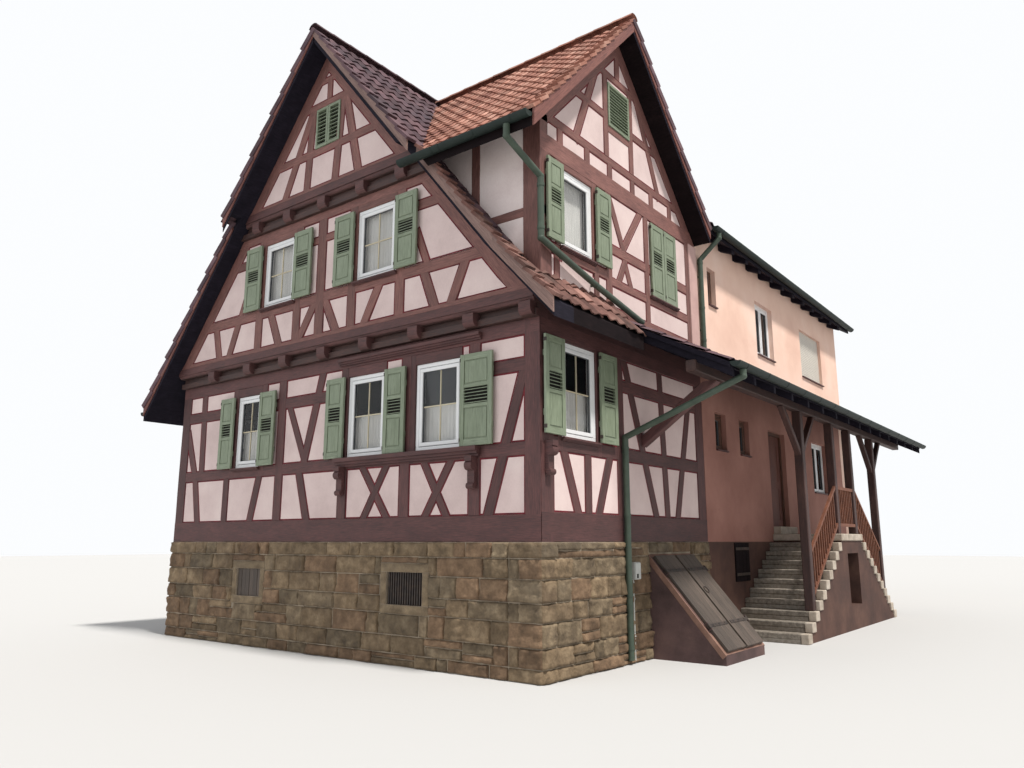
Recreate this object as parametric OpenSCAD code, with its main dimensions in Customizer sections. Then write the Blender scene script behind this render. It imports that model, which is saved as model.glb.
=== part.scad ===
// A half timbered corner house with a steep main roof, a cross gable over its long side,
// a rendered annexe behind, an outside stair under a lean-to porch and a sloping cellar hatch.
// Lengths are in millimetres. x runs along the street front from the ridge line, y into the
// depth from the middle of the house, z up from the underside of the plinth.
// Inside the modules y is counted from the street front wall and z from the top of the plinth.

/* [House] */
// Width of the street front
house_w = 8350; // [8250:10:8600]
// Depth of the timbered front block
block_d = 4850; // [4800:10:5000]
// Depth of the rendered annexe behind it
annexe_d = 8720; // [8600:10:9400]
// Height of the plinth, lowest ground to its top
plinth_h = 1650; // [1600:10:1800]
// Thickness of the plinth walls
plinth_t = 500; // [420:10:560]
// Thickness of the timbered walls
wall_t = 180; // [160:5:200]
// Thickness of the annexe walls
masonry_t = 300; // [260:10:360]
// How far the plaster lies behind the timber faces
plaster_back = 15; // [5:1:30]

/* [Storeys] */
// Top of the ground floor above the plinth
ground_floor_z = 280; // [240:5:295]
// Height of the ground storey walls
storey_h = 2850; // [2800:10:2950]
// Height of the joist ends of the first jetty
joist_h = 180; // [160:5:200]
// Height of the moulded beam over the joist ends
mould_h = 170; // [150:5:190]
// Height of the upper storey wall
upper_h = 2160; // [2100:10:2200]
// Projection of the upper storey over the ground storey
jetty_1 = 150; // [110:5:180]
// Projection of the gable wall over the upper storey
jetty_2 = 120; // [90:5:140]
// Thickness of the floors
floor_t = 200; // [180:5:220]
// Top of the attic floor above the plinth
attic_floor_z = 5450; // [5400:10:5470]

/* [Roofs] */
// Height of the main roof's upper face over the outer faces of the side walls
plate_z = 3417; // [3400:1:3440]
// Thickness of the roofs
roof_t = 190; // [170:5:210]
// Pitch of the main roof in degrees
main_pitch = 50.6; // [50:0.1:51.2]
// Pitch of the flared foot of the main roof in degrees
kick_pitch = 47; // [45:0.5:49]
// Distance of the flare inside the side wall
kick_in = 450; // [400:10:520]
// Overhang of the left eave, level
left_eave = 700; // [600:10:760]
// Overhang of the flared right eave, level
right_eave = 500; // [440:10:560]
// Overhang of the lower verges in front of the ground storey wall
verge_low = 400; // [380:10:440]
// Overhang of the upper verges in front of the ground storey wall
verge_high = 600; // [580:10:660]
// Drop of the cross ridge below the main ridge
cross_ridge_drop = 200; // [150:10:260]
// Distance of the cross ridge from the street front
cross_ridge_y = 2200; // [2150:10:2250]
// Pitch of the cross roof in degrees
cross_pitch = 46.1; // [45.5:0.1:46.6]
// Overhang of the cross roof over the gable
cross_verge = 300; // [260:10:340]
// Overhang of the cross roof over its front eave
cross_eave = 550; // [520:10:620]
// Pitch of the annexe roof in degrees
annexe_pitch = 32; // [31.5:0.1:32.5]
// Overhang of the annexe roof at its eaves and rear verge
annexe_eave = 300; // [260:10:360]
// Thickness of the verge boards
verge_board_t = 30; // [25:1:40]

/* [Timbers] */
// Width of the corner posts
corner_w = 250; // [220:5:280]
// Width of the posts
post_w = 190; // [160:5:200]
// Width of the braces
brace_w = 150; // [120:5:170]
// Height of the rails
rail_h = 170; // [150:5:190]
// Height of the sill beams
sill_beam_h = 340; // [300:10:360]
// Width of the timbers along the verges
verge_timber_w = 230; // [200:5:250]

/* [Windows and shutters] */
// Window sill height in the ground storey
ground_sill_z = 1250; // [1240:5:1290]
// Window height in the ground storey
ground_window_h = 1250; // [1200:10:1270]
// Window sill height in the upper storey
upper_sill_z = 3960; // [3950:5:4000]
// Window height in the upper storey
upper_window_h = 1160; // [1120:10:1180]
// Sill height of the annexe's large lower window
annexe_sill_z = 1100; // [1060:10:1150]
// Sill height of the annexe's upper windows
annexe_upper_sill_z = 3800; // [3760:10:3840]
// Height of the annexe's upper windows
annexe_window_h = 1170; // [1120:10:1200]
// Width of the window frames' bars
frame_w = 60; // [50:1:75]
// Depth of the window frames
frame_d = 70; // [60:1:90]
// Thickness of the glass
glass_t = 16; // [10:1:24]
// Set back of the windows from the timber faces
window_back = 30; // [20:1:50]
// Thickness of a shutter
shutter_t = 38; // [30:1:45]
// Stand-off of a shutter from the wall
shutter_off = 30; // [20:1:50]

/* [Entrance] */
// Distance of the door's middle from the street front
door_y = 8550; // [8500:10:8600]
// Width of the doorway
door_w = 1000; // [950:10:1050]
// Height of the doorway above the threshold
door_h = 1960; // [1900:10:2050]
// Width of the door frame's bars
door_frame_w = 60; // [50:1:70]
// Thickness of the door leaf
door_t = 50; // [42:1:60]
// Clearance round the moving leaves
leaf_gap = 6; // [5:0.5:8]
// Radius of the hinge pins
pin_r = 8; // [6:0.5:10]
// Clearance of a hinge pin in its knuckle
pin_gap = 0.4; // [0.2:0.05:0.6]
// Wall of a hinge knuckle
knuckle_t = 6; // [5:0.5:8]

/* [Stair] */
// Width of the stair from the wall
stair_w = 1300; // [1250:10:1400]
// Number of risers in each flight
riser_n = 11; // [10:1:12]
// Depth of a tread
going = 235; // [225:1:240]
// Height of the landing above the plinth top
landing_z = 150; // [130:5:170]
// Thickness of the landing slab
landing_t = 130; // [110:5:150]
// Length of the landing
landing_l = 1430; // [1380:10:1480]
// Thickness of the stone treads
tread_t = 90; // [70:5:100]
// Overhang of the treads
nosing = 25; // [15:1:35]
// Height of the balustrades above the treads
rail_up = 850; // [800:10:900]

/* [Porch] */
// Height of the porch roof at the wall above the plinth
porch_z = 3300; // [3260:10:3340]
// Depth of the porch roof from the wall
porch_d = 1750; // [1700:10:1800]
// Pitch of the porch roof in degrees
porch_pitch = 27.2; // [26:0.1:28]
// Thickness of the porch roof
porch_t = 120; // [100:5:130]
// Start of the porch roof behind the street front
porch_y = 1850; // [1800:10:1900]
// Width of the porch posts
porch_post_w = 150; // [130:5:165]
// Distance of the porch posts from the wall
porch_post_x = 1190; // [1170:5:1215]

/* [Cellar hatch] */
// Distance of the hatch's near side from the street front
hatch_y = 2710; // [2650:10:2760]
// Width of the hatch
hatch_w = 1430; // [1380:10:1480]
// Height of the hatch's top edge on the wall, below the plinth top
hatch_drop = 180; // [160:5:200]
// Reach of the hatch from the wall
hatch_reach = 1130; // [1100:10:1180]
// Thickness of the hatch cheeks
cheek_t = 120; // [100:5:140]
// Thickness of the hatch boards
hatch_t = 45; // [40:1:55]

/* [Gutters] */
// Outer radius of the gutters
gutter_r = 75; // [65:1:85]
// Wall of the gutters
gutter_t = 6; // [4:0.5:8]
// Radius of the downpipes
pipe_r = 45; // [40:1:50]

/* [Hidden] */

// Colours
c_timber = "#5b3029";
c_plaster = "#d9b3a6";
c_render = "#c9907c";
c_base = "#7d5b50";
c_stone = "#a98d68";
c_step = "#9c968a";
c_tile = "#5a403d";
c_tile_warm = "#9a6248";
c_shutter = "#73875c";
c_green = "#4c6654";
c_white = "#e8e8e6";
c_glass = "#5d6a78";
c_wood = "#7b6a55";
c_verge = "#c9a596";
c_door = "#6b3a2d";

// Overlap of cutting shapes past the solids they cut
over = 10;
// Fine gap where a piece is seated on a slope or a mortar bed
seat = 0.1;
far = 20000;
house_l = block_d + annexe_d;
half_w = house_w / 2;
// The front's positions are drawn for this width and spread with the house's
drawn_w = 8350;
function fx(x) = x * house_w / drawn_w;

// Heights above the plinth top
upper_z = storey_h + joist_h + mould_h;
jetty2_z = upper_z + upper_h;
joist2_h = joist_h + 10;
mould2_h = mould_h + 20;
gable_z = jetty2_z + joist2_h + mould2_h;
ridge_z = plate_z + tan(main_pitch) * half_w;
cross_ridge_z = ridge_z - cross_ridge_drop;

// Outer faces of the front walls, counted from the ground storey's
upper_y = -jetty_1;
gable_y = -jetty_1 - jetty_2;

// Places every module's solids: y from the street front, z from the plinth top
module placed() translate([0, -house_l / 2, plinth_h]) children();

// Vertical thicknesses of the roofs
main_tv = roof_t / cos(main_pitch);
kick_tv = roof_t / cos(kick_pitch);
cross_tv = roof_t / cos(cross_pitch);
annexe_tv = roof_t / cos(annexe_pitch);
porch_tv = porch_t / cos(porch_pitch);

// Upper faces of the roofs
kick_x = half_w - kick_in;
function main_top(x) = ridge_z - tan(main_pitch) * abs(x);
function kick_top(x) = main_top(kick_x) - tan(kick_pitch) * (x - kick_x);
function cross_top(y) = cross_ridge_z - tan(cross_pitch) * abs(y - cross_ridge_y);
function annexe_top(x) = ridge_z - tan(annexe_pitch) * abs(x);
function porch_top(x) = porch_z - tan(porch_pitch) * (x - half_w);
kick_under_x = kick_x - (main_tv - kick_tv) / (tan(main_pitch) - tan(kick_pitch));
left_tip = half_w + left_eave;
right_tip = half_w + right_eave;
// Half width under the main roof at a height
function main_half(z) = (ridge_z - main_tv - z) / tan(main_pitch);

// Flat outlines are drawn in (x, z) or (y, z) and stood up as walls
// A wall along x whose outer face is at y and whose thickness is t
module wall_x(y, t) translate([0, y + t, 0]) rotate([90, 0, 0]) linear_extrude(t) children();
// A wall along y whose outer face looks to +x at x and whose thickness is t
module wall_y(x, t) translate([x - t, 0, 0]) rotate([90, 0, 90]) linear_extrude(t) children();

// Flat pieces of a timber wall
module rail(x0, x1, z, h = rail_h) translate([x0, z]) square([x1 - x0, h]);
module post(x, z0, z1, w = post_w) translate([x - w / 2, z0]) square([w, z1 - z0]);
module bar(x0, z0, x1, z1, w = brace_w) {
    l = norm([x1 - x0, z1 - z0]);
    translate([x0, z0]) rotate(atan2(z1 - z0, x1 - x0)) translate([0, -w / 2]) square([l, w]);
}
module opening(o) translate([o[0] - o[1] / 2, o[2]]) square([o[1], o[3]]);
module openings(list) for (o = list) opening(o);

// The region below the main roof's underside
module under_main() polygon([
    [-left_tip, -far], [right_tip, -far], [right_tip, kick_top(right_tip) - kick_tv - seat],
    [kick_under_x, main_top(kick_under_x) - main_tv - seat], [0, ridge_z - main_tv - seat],
    [-left_tip, main_top(left_tip) - main_tv - seat]]);
module under_cross() polygon([
    [cross_ridge_y - far, -far], [cross_ridge_y + far, -far],
    [cross_ridge_y + far, cross_top(cross_ridge_y + far) - cross_tv - seat],
    [cross_ridge_y, cross_ridge_z - cross_tv - seat],
    [cross_ridge_y - far, cross_top(cross_ridge_y - far) - cross_tv - seat]]);
module under_annexe() polygon([
    [-2 * half_w, -far], [2 * half_w, -far], [2 * half_w, annexe_top(2 * half_w) - annexe_tv - seat],
    [0, ridge_z - annexe_tv - seat], [-2 * half_w, annexe_top(2 * half_w) - annexe_tv - seat]]);
module under_main_3d(y0, y1) translate([0, y1, 0]) rotate([90, 0, 0]) linear_extrude(y1 - y0) under_main();
module under_annexe_3d(y0, y1)
    translate([0, y1, 0]) rotate([90, 0, 0]) linear_extrude(y1 - y0) under_annexe();
module under_cross_3d(x0, x1) translate([x0, 0, 0]) rotate([90, 0, 90]) linear_extrude(x1 - x0) under_cross();

// Windows: middle, width, sill height, height; the middles are counted from the ridge line
// on the fronts and from the street front on the long sides
win_l = [fx(-2045), 700, ground_sill_z, ground_window_h];
win_m = [fx(945), 840, ground_sill_z, ground_window_h];
win_r = [fx(2415), 880, ground_sill_z, ground_window_h];
up_l = [fx(-1205), 860, upper_sill_z, upper_window_h];
up_r = [fx(1205), 880, upper_sill_z, upper_window_h];
win_s = [925, 850, ground_sill_z + 90, ground_window_h + 30];
win_g = [940, 820, upper_sill_z, upper_window_h];
annexe_low = [[block_d + 785, 490, annexe_sill_z + 500, 700], [block_d + 1905, 490, annexe_sill_z + 500, 700],
    [block_d + 6600, 1100, annexe_sill_z, 1200]];
annexe_high = [[block_d + 695, 370, annexe_upper_sill_z + 490, annexe_window_h - 430],
    [block_d + 3400, 1000, annexe_upper_sill_z, annexe_window_h],
    [block_d + 6550, 1600, annexe_upper_sill_z, annexe_window_h]];
left_low = [[1500, 850, ground_sill_z, ground_window_h], [3400, 850, ground_sill_z, ground_window_h]];
left_annexe = [for (y = [1350, 3850, 6350], z = [annexe_sill_z, annexe_upper_sill_z])
    [block_d + y, 1000, z, annexe_window_h]];
rear_windows = concat([for (x = [-2200, 0, 2200], z = [annexe_sill_z, annexe_upper_sill_z])
    [fx(x), 1000, z, annexe_window_h]], [[0, 700, attic_floor_z + 550, 900]]);
vent_front = [fx(60), 610, gable_z + 730, 710];
vent_side = [2200, 660, 6360, 740];
// Gap between a window and its open shutter
shutter_gap = 25;

module cellar_floor() color(c_step) placed() translate([-half_w + plinth_t, plinth_t, -plinth_h])
    cube([house_w - 2 * plinth_t, house_l - 2 * plinth_t, floor_t]);

// Cellar lights in the street front: middle, width, bottom, height
cellar_lights = [[fx(-1755), 640, -870, 440], [fx(1860), 690, -850, 440]];
light_rim = 120;
light_rim_t = 15;
module plinth_front() color(c_stone) placed() {
    wall_x(0, plinth_t) difference() {
        translate([-half_w, -plinth_h]) square([house_w, plinth_h]);
        openings(cellar_lights);
    }
    // Dressed frames round the lights
    wall_x(-light_rim_t, light_rim_t + 1) difference() {
        for (o = cellar_lights)
            opening([o[0], o[1] + 2 * light_rim, o[2] - light_rim, o[3] + 2 * light_rim]);
        openings(cellar_lights);
    }
}
module plinth_left() color(c_stone) placed() translate([-half_w, plinth_t, -plinth_h])
    cube([plinth_t, house_l - 2 * plinth_t, plinth_h]);
// The hatch stands over a low cellar doorway
hatch_hole_w = hatch_w - 2 * cheek_t - 40;
hatch_mid = hatch_y + hatch_w / 2;
module plinth_right() color(c_stone) placed() wall_y(half_w, plinth_t) difference() {
    translate([plinth_t, -plinth_h]) square([block_d - plinth_t, plinth_h]);
    translate([hatch_mid - hatch_hole_w / 2, -plinth_h + floor_t])
        square([hatch_hole_w, plinth_h - floor_t - hatch_drop - 170]);
}
module annexe_plinth() color(c_base) placed() wall_y(half_w, plinth_t)
    translate([block_d, -plinth_h]) square([annexe_d - plinth_t, plinth_h]);
module plinth_rear() color(c_base) placed() translate([-half_w, house_l - plinth_t, -plinth_h])
    cube([house_w, plinth_t, plinth_h]);

module ground_floor() color(c_wood) placed() {
    translate([-half_w + wall_t, wall_t, 0])
        cube([house_w - 2 * wall_t, block_d - wall_t, ground_floor_z]);
    translate([-half_w + masonry_t, block_d - over, 0])
        cube([house_w - 2 * masonry_t, annexe_d - masonry_t + over, ground_floor_z]);
}
module upper_floor() color(c_wood) placed() {
    translate([-half_w + wall_t, wall_t, upper_z - floor_t])
        cube([house_w - 2 * wall_t, block_d - wall_t, floor_t]);
    translate([-half_w + masonry_t, block_d - over, upper_z - floor_t])
        cube([house_w - 2 * masonry_t, annexe_d - masonry_t + over, floor_t]);
}
// Inner edge of the cheek wall beside the cross gable
cheek_x = main_half(cross_top(wall_t - jetty_1) - cross_tv) - 120;
cheek_y = wall_t - jetty_1;
module attic_floor() color(c_wood) placed() {
    intersection() {
        translate([-half_w, cheek_y, attic_floor_z - floor_t])
            cube([half_w + cheek_x - over, block_d - cheek_y, floor_t]);
        under_main_3d(0, block_d);
    }
    intersection() {
        translate([cheek_x - 2 * over, cheek_y + wall_t, attic_floor_z - floor_t])
            cube([half_w - wall_t - cheek_x + 2 * over, block_d - cheek_y - wall_t, floor_t]);
        under_cross_3d(0, half_w);
    }
    translate([-half_w + masonry_t, block_d + masonry_t, attic_floor_z - floor_t])
        cube([house_w - 2 * masonry_t, annexe_d - 2 * masonry_t, floor_t]);
}

// Street front, ground storey
post_a = fx(-1125);
post_b = fx(465);
post_c = fx(1785);
post_d = fx(3085);
rail_z = ground_sill_z - rail_h;
high_rail_z = ground_sill_z + 920;
module front_ground_outline() translate([-half_w, 0]) square([house_w, storey_h]);
module front_ground_timbers() {
    rail(-half_w, half_w, 0, sill_beam_h);
    rail(-half_w, half_w, storey_h - 200, 200);
    rail(-half_w, half_w, rail_z);
    post(-half_w + corner_w / 2, 0, storey_h, corner_w);
    post(half_w - corner_w / 2, 0, storey_h, corner_w);
    post(post_a, 0, storey_h);
    post(post_b, 0, storey_h);
    post(post_c, 0, storey_h);
    post(post_d, 0, storey_h);
    // Posts beside the left window
    post(win_l[0] - win_l[1] / 2 - 70, rail_z, storey_h, 140);
    post(win_l[0] + win_l[1] / 2 + 70, rail_z, storey_h, 140);
    rail(-half_w, win_l[0] - win_l[1] / 2, high_rail_z);
    rail(win_l[0] + win_l[1] / 2, post_b, high_rail_z);
    rail(post_d, half_w, high_rail_z);
    // Lintels over the windows
    for (w = [win_l, win_m, win_r])
        rail(w[0] - w[1] / 2, w[0] + w[1] / 2, w[2] + w[3], storey_h - 200 - w[2] - w[3]);
    post(win_r[0] - win_r[1] / 2 - 50, rail_z, storey_h, 100);
    // Braces under the window rail
    bar(fx(-3430), 250, fx(-3620), rail_z + 60);
    post(fx(-2615), 0, rail_z, brace_w);
    bar(fx(-1885), 250, fx(-1650), rail_z + 60);
    bar(fx(-335), 250, fx(-615), rail_z + 60);
    bar(fx(905), 250, fx(1450), rail_z + 60, 110);
    bar(fx(1510), 250, fx(870), rail_z + 60, 110);
    bar(fx(2150), 250, fx(2710), rail_z + 60, 110);
    bar(fx(2650), 250, fx(2140), rail_z + 60, 110);
    // Tall brace in the corner bay and braces over the window rail
    bar(fx(3310), 280, half_w - 250, 2230);
    bar(fx(-3640), rail_z + 100, -half_w + 210, 2010);
    bar(fx(-3425), rail_z + 100, fx(-3480), storey_h - 100);
    bar(fx(-505), rail_z + 100, fx(-75), storey_h - 100);
    bar(fx(-940), high_rail_z + 60, fx(-430), rail_z + 100, 110);
}
module front_ground_windows() openings([win_l, win_m, win_r]);
module front_ground_frame() color(c_timber) placed() wall_x(0, wall_t) difference() {
    intersection() {
        front_ground_timbers();
        front_ground_outline();
    }
    front_ground_windows();
}
module front_ground_panels() difference() {
    front_ground_outline();
    front_ground_windows();
    front_ground_timbers();
}

// A jetty: joist ends with rounded noses, fillers between them and a moulded beam above
module joist_nose(d, h, w) translate([w / 2, 0, 0]) rotate([90, 0, -90]) linear_extrude(w) difference() {
    square([d, h]);
    translate([d - h / 2, 0]) difference() {
        square([h / 2 + over, h / 2]);
        translate([0, h / 2]) circle(h / 2, $fn = 48);
    }
}
module jetty_beam(x0, x1, d, h) translate([x1, 0, 0]) rotate([90, 0, -90]) linear_extrude(x1 - x0) union() {
    square([d - h / 2, h]);
    translate([d - h / 2, h * 0.3]) square([h * 0.42, h * 0.7]);
    translate([d - h / 2, h * 0.32]) circle(h * 0.32, $fn = 48);
}
module jetty(x0, x1, joists, d, back, jh, mh) {
    nose = 20;
    // Trimmer behind the joist ends and the rail that fills the lower half between them
    translate([x0, -d * 0.1, 0]) cube([x1 - x0, back + d * 0.1, jh]);
    translate([x0, -d * 0.5, 0]) cube([x1 - x0, d * 0.5 + 1, jh * 0.5]);
    for (x = joists) translate([x, back, 0]) joist_nose(back + d + nose, jh, 190);
    translate([0, back, jh]) jetty_beam(x0, x1, back + d + nose, mh);
}
jetty1_joists = concat([for (x = [-3055, -1975, -975, 15, 995, 2045, 3095]) fx(x)], [half_w - 125]);
jetty2_joists = [for (x = [-1795, -915, -5, 925, 1805]) fx(x)];
module first_jetty() color(c_timber) placed() intersection() {
    translate([0, 0, storey_h]) jetty(-half_w, half_w, jetty1_joists, jetty_1, wall_t, joist_h, mould_h);
    under_main_3d(-far, far);
}
module second_jetty() color(c_timber) placed() intersection() {
    translate([0, upper_y, jetty2_z])
        jetty(-half_w, half_w, jetty2_joists, jetty_2, wall_t, joist2_h, mould2_h);
    under_main_3d(-far, far);
}

// Timbers that follow the main roof along a front wall
module verge_timbers() difference() {
    under_main();
    translate([0, -verge_timber_w / cos(main_pitch)]) under_main();
}
upper_rail_z = upper_sill_z - rail_h + 10;
module front_upper_outline() intersection() {
    translate([-half_w, upper_z]) square([house_w, upper_h]);
    under_main();
}
module front_upper_timbers() {
    verge_timbers();
    rail(-half_w, half_w, upper_z - 60, 130);
    rail(-half_w, half_w, upper_rail_z);
    rail(-half_w, half_w, jetty2_z - 140, 140);
    for (w = [up_l, up_r], s = [-1, 1]) post(w[0] + s * (w[1] / 2 + 90), upper_z, jetty2_z, 180);
    post(fx(-95), upper_z, jetty2_z, 200);
    rail(up_l[0] + up_l[1] / 2, up_r[0] - up_r[1] / 2, upper_sill_z + 870, 110);
    for (w = [up_l, up_r]) rail(w[0] - w[1] / 2, w[0] + w[1] / 2, w[2] + w[3], 120);
    rail(up_r[0] + up_r[1] / 2, fx(3000), upper_sill_z + 850, 140);
    rail(fx(-3000), up_l[0] - up_l[1] / 2, upper_sill_z + 850, 140);
    bar(fx(-2860), upper_z - 20, fx(-3040), upper_rail_z + 50);
    bar(fx(-2600), upper_z - 20, fx(-2330), upper_rail_z + 50);
    bar(fx(-1100), upper_z - 20, fx(-1400), upper_rail_z + 50);
    bar(fx(-640), upper_z - 20, fx(-200), upper_rail_z + 50);
    bar(fx(360), upper_z - 20, fx(10), upper_rail_z + 50);
    bar(fx(945), upper_z - 20, fx(1310), upper_rail_z + 50);
    bar(fx(2475), upper_z - 20, fx(2215), upper_rail_z + 50);
    bar(fx(2735), upper_z - 20, fx(3030), upper_rail_z + 50);
    bar(fx(2290), upper_rail_z + 140, fx(2060), 4500, 110);
    bar(fx(-2290), upper_rail_z + 140, fx(-2060), 4500, 110);
}
module front_upper_windows() openings([up_l, up_r]);
module front_upper_frame() color(c_timber) placed() wall_x(upper_y, wall_t) difference() {
    intersection() {
        front_upper_timbers();
        front_upper_outline();
    }
    front_upper_windows();
}
module front_upper_panels() difference() {
    front_upper_outline();
    front_upper_windows();
    front_upper_timbers();
}

// Gable of the street front
gable_rail_z = gable_z + 610;
collar_z = gable_z + 1460;
module front_gable_outline() intersection() {
    translate([-half_w, gable_z]) square([house_w, ridge_z - gable_z]);
    under_main();
}
module front_gable_timbers() {
    verge_timbers();
    rail(-half_w, half_w, gable_z - 60, 110);
    rail(-half_w, half_w, gable_rail_z, 130);
    rail(-half_w, half_w, collar_z, 110);
    rail(-half_w, half_w, collar_z + 440, 90);
    bar(fx(-1040), gable_z - 20, fx(-340), collar_z + 50);
    bar(fx(-435), gable_z - 20, fx(-345), collar_z + 50);
    bar(fx(285), gable_z - 20, fx(405), collar_z + 50);
    bar(fx(860), gable_z - 20, fx(480), collar_z + 50);
    post(vent_front[0], collar_z, collar_z + 480, 110);
}
module front_gable_frame() color(c_timber) placed() wall_x(gable_y, wall_t) difference() {
    intersection() {
        front_gable_timbers();
        front_gable_outline();
    }
    opening(vent_front);
}
module front_gable_panels() difference() {
    front_gable_outline();
    opening(vent_front);
    front_gable_timbers();
}
panel_t = wall_t - 2 * plaster_back;
module front_plaster() color(c_plaster) placed() {
    wall_x(plaster_back, panel_t) front_ground_panels();
    wall_x(upper_y + plaster_back, panel_t) front_upper_panels();
    wall_x(gable_y + plaster_back, panel_t) front_gable_panels();
}

// Long side, ground storey of the timbered block
module side_outline() translate([wall_t, 0]) square([block_d - wall_t, upper_z]);
side_rail_z = win_s[2] - 190;
module side_timbers() {
    rail(0, block_d, 0, sill_beam_h + 30);
    rail(0, block_d, side_rail_z, 180);
    rail(0, block_d, storey_h - 200, 200);
    rail(0, block_d, storey_h + 150, upper_z - storey_h - 150);
    post(corner_w / 2 + 20, 0, upper_z, corner_w + 40);
    post(block_d - 140, 0, upper_z, 280);
    bar(900, 250, 510, side_rail_z + 60);
    post(1110, 0, side_rail_z, 150);
    bar(1325, 250, 1710, side_rail_z + 60);
    post(2000, 0, upper_z, 190);
    post(win_s[0] - win_s[1] / 2 - 60, side_rail_z, storey_h, 120);
    post(win_s[0] + win_s[1] / 2 + 60, side_rail_z, storey_h, 120);
    rail(win_s[0] - win_s[1] / 2, win_s[0] + win_s[1] / 2, win_s[2] + win_s[3], 100);
    bar(3090, 250, 2120, storey_h - 100);
    bar(3430, 250, 3280, storey_h - 100);
    bar(3740, 250, 4330, 2330);
    rail(2000, block_d, high_rail_z);
}
module side_frame() color(c_timber) placed() wall_y(half_w, wall_t) difference() {
    intersection() {
        side_timbers();
        side_outline();
    }
    opening(win_s);
}
module side_panels() difference() {
    side_outline();
    opening(win_s);
    side_timbers();
}

// Hidden left side of the timbered block, cut off by the roof at its top
left_top_z = plate_z + 183;
module left_timbers() {
    rail(0, block_d, 0, sill_beam_h);
    rail(0, block_d, rail_z);
    rail(0, block_d, storey_h - 200, 600);
    for (y = [corner_w / 2 + 20, block_d / 2, block_d - 120]) post(y, 0, left_top_z, 240);
    for (w = left_low, s = [-1, 1]) post(w[0] + s * (w[1] / 2 + 60), 0, storey_h, 120);
    for (w = left_low) rail(w[0] - w[1] / 2, w[0] + w[1] / 2, w[2] + w[3], 120);
}
module left_outline() translate([wall_t, 0]) square([block_d - wall_t, left_top_z]);
module left_frame() color(c_timber) placed() intersection() {
    wall_y(-half_w + wall_t, wall_t) difference() {
        intersection() {
            left_timbers();
            left_outline();
        }
        openings(left_low);
    }
    under_main_3d(0, block_d);
}
module left_plaster() color(c_plaster) placed() intersection() {
    wall_y(-half_w + wall_t - plaster_back, panel_t) difference() {
        left_outline();
        openings(left_low);
        left_timbers();
    }
    under_main_3d(0, block_d);
}

// Cross gable over the long side
cross_beam_z = 5200;
module cross_outline() intersection() {
    translate([cheek_y + wall_t, upper_z]) square([block_d - cheek_y - wall_t, cross_ridge_z - upper_z]);
    under_cross();
}
module cross_timbers() {
    g = cross_ridge_y;
    difference() {
        under_cross();
        translate([0, -210 / cos(cross_pitch)]) under_cross();
    }
    // Storey part
    rail(0, block_d, 3200, 220);
    rail(0, 1770, upper_sill_z - 160, 150);
    rail(1770, block_d, 3750, 120);
    rail(1770, block_d, 4260, 140);
    post(140, upper_z, cross_beam_z, 280);
    post(block_d - 160, upper_z, cross_beam_z, 300);
    for (s = [-1, 1]) post(win_g[0] + s * (win_g[1] / 2 + 60), 3750, cross_beam_z, 120);
    post(420, upper_z, 3900, 110);
    post(1440, upper_z, 3900, 110);
    post(1800, upper_z, cross_beam_z, 150);
    post(3000, upper_z, cross_beam_z, 130);
    bar(2080, 3850, 2340, 4320, 110);
    bar(2460, 3850, 2230, 4330, 110);
    bar(2290, 4330, 1810, 5220, 120);
    bar(2170, 4330, 2830, 5220, 120);
    rail(win_g[0] - win_g[1] / 2, win_g[0] + win_g[1] / 2, win_g[2] + win_g[3], 100);
    rail(0, block_d, cross_beam_z, 180);
    // Band of small panels
    for (y = [530, 1240, 1890, 2600, 3230, 3900]) post(y, cross_beam_z, 5800, 120);
    rail(0, block_d, 5690, 120);
    // Gable triangle
    post(vent_side[0] - vent_side[1] / 2 - 60, 5690, 7200, 120);
    post(vent_side[0] + vent_side[1] / 2 + 60, 5690, 7200, 120);
    rail(0, block_d, 6440, 110);
    rail(0, block_d, 7180, 110);
    post(g, 7180, cross_ridge_z, 130);
    bar(920, 5700, 1600, 7280, 130);
    bar(3520, 5700, 2780, 7280, 130);
}
module cross_gable_frame() color(c_timber) placed() wall_y(half_w, wall_t) difference() {
    intersection() {
        cross_timbers();
        cross_outline();
    }
    opening(win_g);
    opening(vent_side);
}
module cross_gable_panels() difference() {
    cross_outline();
    opening(win_g);
    opening(vent_side);
    cross_timbers();
}
module side_plaster() color(c_plaster) placed() wall_y(half_w - plaster_back, panel_t) {
    side_panels();
    cross_gable_panels();
}

// Wall that looks to the street above the roof, beside the cross gable
module cheek_outline() translate([cheek_x, upper_z]) square([half_w - cheek_x, cross_ridge_z - upper_z]);
module cheek_timbers() {
    post(half_w - 145, upper_z, cross_ridge_z, 290);
    post(half_w - 1135, upper_z, cross_ridge_z, 150);
    post(cheek_x + 60, upper_z, cross_ridge_z, 120);
    rail(cheek_x, half_w, 4290, 130);
    rail(cheek_x, half_w, 5440, 600);
    rail(cheek_x, half_w, upper_z, 200);
}
module cross_cheek() color(c_timber) placed() intersection() {
    union() {
        wall_x(cheek_y, wall_t) intersection() {
            cheek_timbers();
            cheek_outline();
        }
        wall_x(cheek_y + plaster_back, panel_t) cheek_outline();
    }
    under_cross_3d(0, half_w);
}

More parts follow.
